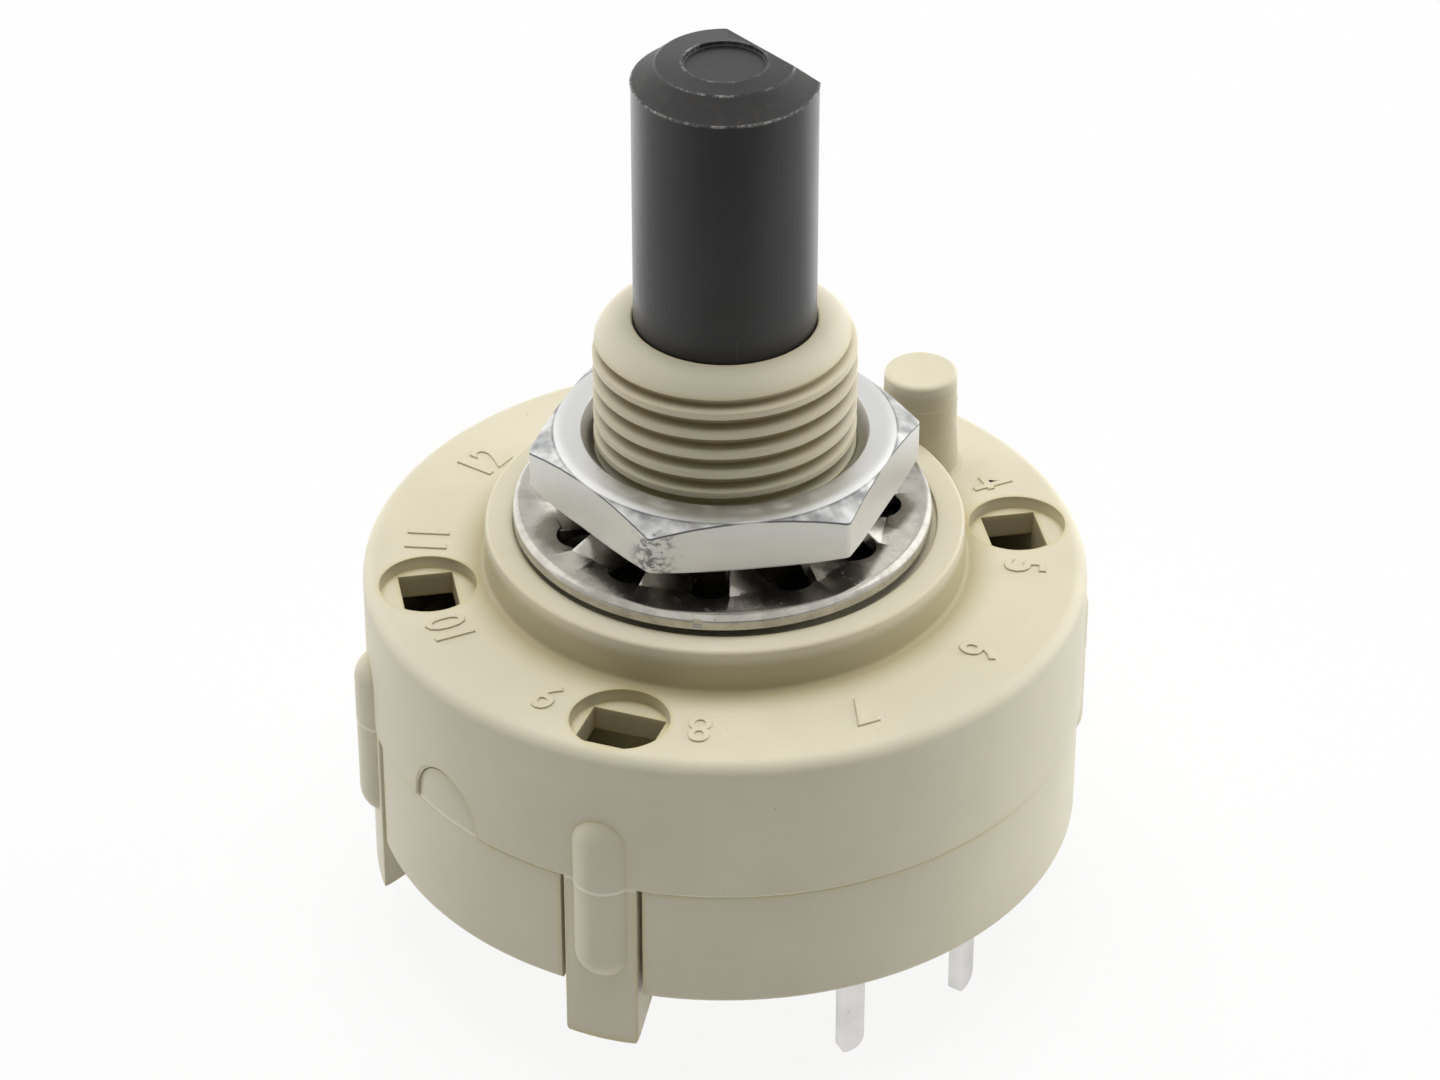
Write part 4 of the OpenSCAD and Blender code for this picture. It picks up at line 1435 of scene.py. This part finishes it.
@dataclass
class Terminals(Part):
    """The silvered pins: six outer ones with a radial pad, two common ones with a curved track."""

    finish: Finish = Finish.SILVERED_BRASS
    tip: float = field(default_factory=lambda: low_of("outer_terminal_1"))
    pad_top: float = field(default_factory=lambda: high_of("outer_terminal_1"))
    floor: float = BASE_FLOOR
    width: float = BLADE_W
    thick: float = BLADE_T
    outer_at: float = PIN_CIRCLE
    pad: tuple[float, float] = (7.1, 1.9)
    outer_angles: tuple[float, ...] = PIN_ANGLES
    common_at: float = COMMON_CIRCLE
    track: tuple[float, float, float] = (4.2, 5.8, 42)
    common_angles: tuple[float, ...] = COMMON_ANGLES

    def blade(self, name: str, radius: float) -> Piece:
        """A flat pin at angle 0, its tip cut round more on one side than on the other.

        Args:
            name: the piece's name.
            radius: where it stands from the axis.

        Returns:
            The pin.
        """
        top = self.pad_top - 0.12
        middle = (top + self.tip) / 2
        outline = rounded_box(self.width / 2, (top - self.tip) / 2, (0.02, 0.02, 0.2, 0.6), steps=8)
        points = [Vector((radius - self.thick / 2, y, z + middle)) for y, z in outline]
        pin = Bench.prism(name, points, Vector((self.thick, 0, 0)))
        return Bench.soften(pin, 0.06, sharper_than=50)

    def outer(self) -> Piece:
        """An outer pin with its radial pad, at angle 0."""
        start, wide = self.pad
        pin = self.blade("pin_outer", self.outer_at)
        pad = Bench.block("pad", (start, -wide / 2, self.floor),
                          (self.outer_at + self.thick / 2, wide / 2, self.pad_top))
        return Bench.combine(Bench.soften(pad, 0.05, sharper_than=50), pin, Cut.ADD)

    def common(self) -> Piece:
        """A common pin with its curved track, at angle 0."""
        inner, outer, half = self.track
        corners = arc((0, 0), outer, -half, half, 28) + arc((0, 0), inner, half, -half, 28)
        track = Bench.prism("track", [Vector((x, y, self.floor)) for x, y in corners],
                            Vector((0, 0, self.pad_top - self.floor)))
        return Bench.combine(Bench.soften(track, 0.05, sharper_than=50),
                             self.blade("pin_common", self.common_at), Cut.ADD)

    def build(self) -> list[Piece]:
        """Models the pins and ties them to the frame."""
        made = []
        for number, pin in enumerate(Bench.copies(self.outer(), self.outer_angles), 1):
            pin.name = pin.data.name = f"pin_outer_{number}"
            made.append(self.deliver(pin, f"outer_terminal_{number}"))
        for letter, pin in zip("ab", Bench.copies(self.common(), self.common_angles)):
            pin.name = pin.data.name = f"pin_common_{letter}"
            made.append(self.deliver(pin, f"common_terminal_{letter}"))
        return made


@dataclass
class InnerWorks:
    """The frame's own springs, balls and wipers, which keep their shape and get their finish."""

    finishes: dict[str, Finish] = field(default_factory=lambda: {
        "detent_spring": Finish.SPRING_STEEL,
        "detent_ball_a": Finish.BALL_STEEL,
        "detent_ball_b": Finish.BALL_STEEL,
        "wiper_a": Finish.CONTACT_BRONZE,
        "wiper_b": Finish.CONTACT_BRONZE,
        "wiper_spring_a": Finish.SPRING_STEEL,
        "wiper_spring_b": Finish.SPRING_STEEL,
    })

    def build(self) -> None:
        """Gives each node its finish."""
        for node, finish in self.finishes.items():
            Paint.on(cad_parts[node], finish)
            log.info("%s: keeps its shape, finished in %s", node, finish.slot)


# ---------------------------------------------------------------- the studio

@dataclass(frozen=True)
class Lamp:
    """A soft square lamp that looks at the switch.

    Its turn is counted from straight behind the switch and its height from the horizon, both in degrees.
    Its side and reach are in metres and its power in watts.
    """

    name: str
    turn: float
    height: float
    side: float
    power: float
    reach: float = 0.9
    mirrored: bool = True


@dataclass
class Studio:
    """A pale floor, soft lamps and the camera."""

    floor: float = field(default_factory=lambda: low_of("outer_terminal_1") - 0.02)
    camera_angle: float = 319.6
    camera_out: float = 148.385
    camera_up: float = 98.80
    camera_pitch: float = 33.947
    lens: float = 126.02
    sensor: float = 36.0
    nearest: float = 0.001
    sideways: float = -0.0035
    lamps: tuple[Lamp, ...] = (
        Lamp("top", 0, 85, 0.7, 6.2, reach=0.8, mirrored=False),
        Lamp("low_left", 66, 9, 0.25, 1.8, mirrored=False),
        Lamp("low_right", -72, 9, 0.25, 2.9, mirrored=False),
        Lamp("left", 54, 24, 1.0, 2.2),
        Lamp("right", -58, 24, 1.0, 3.4),
    )
    world: float = 0.06
    near_glint: float = 0.3
    far_glint: float = 1.0
    back_glint: float = 1.8
    front_fade: tuple[float, float] = (52, 34)
    back_fade: tuple[float, float] = (-15, -40)
    world_glint: float = 1.0
    floor_r: float = 0.9
    floor_tone: float = 0.8
    floor_glow: float = 0.9

    def aim(self, item: Piece, place: Vector, target: Vector) -> None:
        """Puts a lamp or camera at a place, in metres, and points it at a target."""
        item.location = place
        item.rotation_euler = (target - place).to_track_quat("-Z", "Y").to_euler()

    def hang(self, plan: Lamp) -> None:
        """Adds a lamp that looks at the switch.

        Args:
            plan: where it hangs, how big and bright it is, and whether shiny surfaces show it.
        """
        bpy.ops.object.select_all(action="DESELECT")
        bpy.ops.object.light_add(type="AREA")
        lamp = bpy.context.active_object
        lamp.name = plan.name
        lamp.data.shape = "SQUARE"
        lamp.data.size = plan.side
        lamp.data.energy = plan.power
        lamp.visible_glossy = plan.mirrored
        turn, tilt = math.radians(self.camera_angle + 180 + plan.turn), math.radians(plan.height)
        towards = Vector((math.cos(turn) * math.cos(tilt), math.sin(turn) * math.cos(tilt),
                          math.sin(tilt)))
        self.aim(lamp, towards * plan.reach, Vector())

    def backdrop(self, recipe: Recipe, lit: Wire, glow: float) -> Wire:
        """Mixes a surface with plain white for the camera and for reflections.

        Reflections find it brighter at the back than at the front, as on a lit sweep.

        Args:
            recipe: the material's nodes.
            lit: the shader for every other ray.
            glow: how much of the white is mixed in.

        Returns:
            The mixed shader.
        """
        path = {name: recipe.node("ShaderNodeLightPath", output=f"Is {name} Ray")
                for name in ("Camera", "Glossy", "Transmission")}
        seen = path["Camera"].either(path["Glossy"]).either(path["Transmission"])
        turn = math.radians(self.camera_angle)
        ahead = recipe.x * math.cos(turn) + recipe.y * math.sin(turn)
        glint = self.near_glint + ahead.rise(*self.front_fade) * (self.far_glint - self.near_glint)
        glint = glint + ahead.rise(*self.back_fade) * (self.back_glint - self.far_glint)
        strength = path["Glossy"] * glint + (1 - path["Glossy"])
        white = recipe.node("ShaderNodeEmission", sockets={"Color": (1, 1, 1, 1), "Strength": strength})
        return recipe.node("ShaderNodeMixShader", sockets={0: seen * glow, 1: lit, 2: white})

    def lay_floor(self) -> None:
        """A plain pale floor that keeps the shadow."""
        bpy.ops.object.select_all(action="DESELECT")
        bpy.ops.mesh.primitive_circle_add(vertices=64, radius=self.floor_r, fill_type="NGON",
                                          location=(0, 0, self.floor * MM))
        floor = Bench.named("floor")
        recipe = Recipe("pale_floor")
        lit = recipe.node("ShaderNodeBsdfDiffuse",
                          sockets={"Color": (self.floor_tone, self.floor_tone, self.floor_tone, 1)})
        recipe.node("ShaderNodeOutputMaterial",
                    sockets={"Surface": self.backdrop(recipe, lit, self.floor_glow)})
        floor.data.materials.append(recipe.material)

    def light(self) -> None:
        """Lamps from above, behind and both sides, and a world that is white to the camera."""
        for plan in self.lamps:
            self.hang(plan)
        world = bpy.data.worlds.new("studio")
        bpy.context.scene.world = world
        world.use_nodes = True
        nodes, links = world.node_tree.nodes, world.node_tree.links
        nodes.clear()
        path = nodes.new("ShaderNodeLightPath")
        seen = nodes.new("ShaderNodeOutputWorld")
        last = nodes.new("ShaderNodeBackground")
        last.inputs["Strength"].default_value = self.world
        for ray, strength in (("Is Glossy Ray", self.world_glint), ("Is Transmission Ray", 1.0),
                              ("Is Camera Ray", 1.0)):
            white = nodes.new("ShaderNodeBackground")
            white.inputs["Color"].default_value = (1, 1, 1, 1)
            white.inputs["Strength"].default_value = strength
            mix = nodes.new("ShaderNodeMixShader")
            links.new(path.outputs[ray], mix.inputs[0])
            links.new(last.outputs[0], mix.inputs[1])
            links.new(white.outputs[0], mix.inputs[2])
            last = mix
        links.new(last.outputs[0], seen.inputs["Surface"])

    def place_camera(self) -> None:
        """The camera, looking down at the switch from the front."""
        bpy.ops.object.select_all(action="DESELECT")
        bpy.ops.object.camera_add()
        camera = bpy.context.active_object
        camera.name = "camera"
        camera.data.lens = self.lens
        camera.data.sensor_width = self.sensor
        camera.data.clip_start = self.nearest
        camera.data.shift_x = self.sideways
        turn = math.radians(self.camera_angle)
        place = Vector((math.cos(turn) * self.camera_out, math.sin(turn) * self.camera_out,
                        self.camera_up)) * MM
        fall = math.tan(math.radians(self.camera_pitch)) * self.camera_out
        self.aim(camera, place, Vector((0, 0, (self.camera_up - fall) * MM)))
        bpy.context.scene.camera = camera

    def build(self) -> None:
        """Sets the whole studio."""
        self.lay_floor()
        self.light()
        self.place_camera()
        bpy.context.scene.view_settings.view_transform = "Standard"


def main() -> None:
    """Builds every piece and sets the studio."""
    logging.basicConfig(level=logging.INFO, format="%(name)s %(message)s")
    Studio().build()
    Housing().build()
    TerminalBase().build()
    Rotor().build()
    PanelNut().build()
    ToothedWasher().build()
    PositionStop().build()
    Terminals().build()
    InnerWorks().build()


if __name__ == "__main__":
    main()
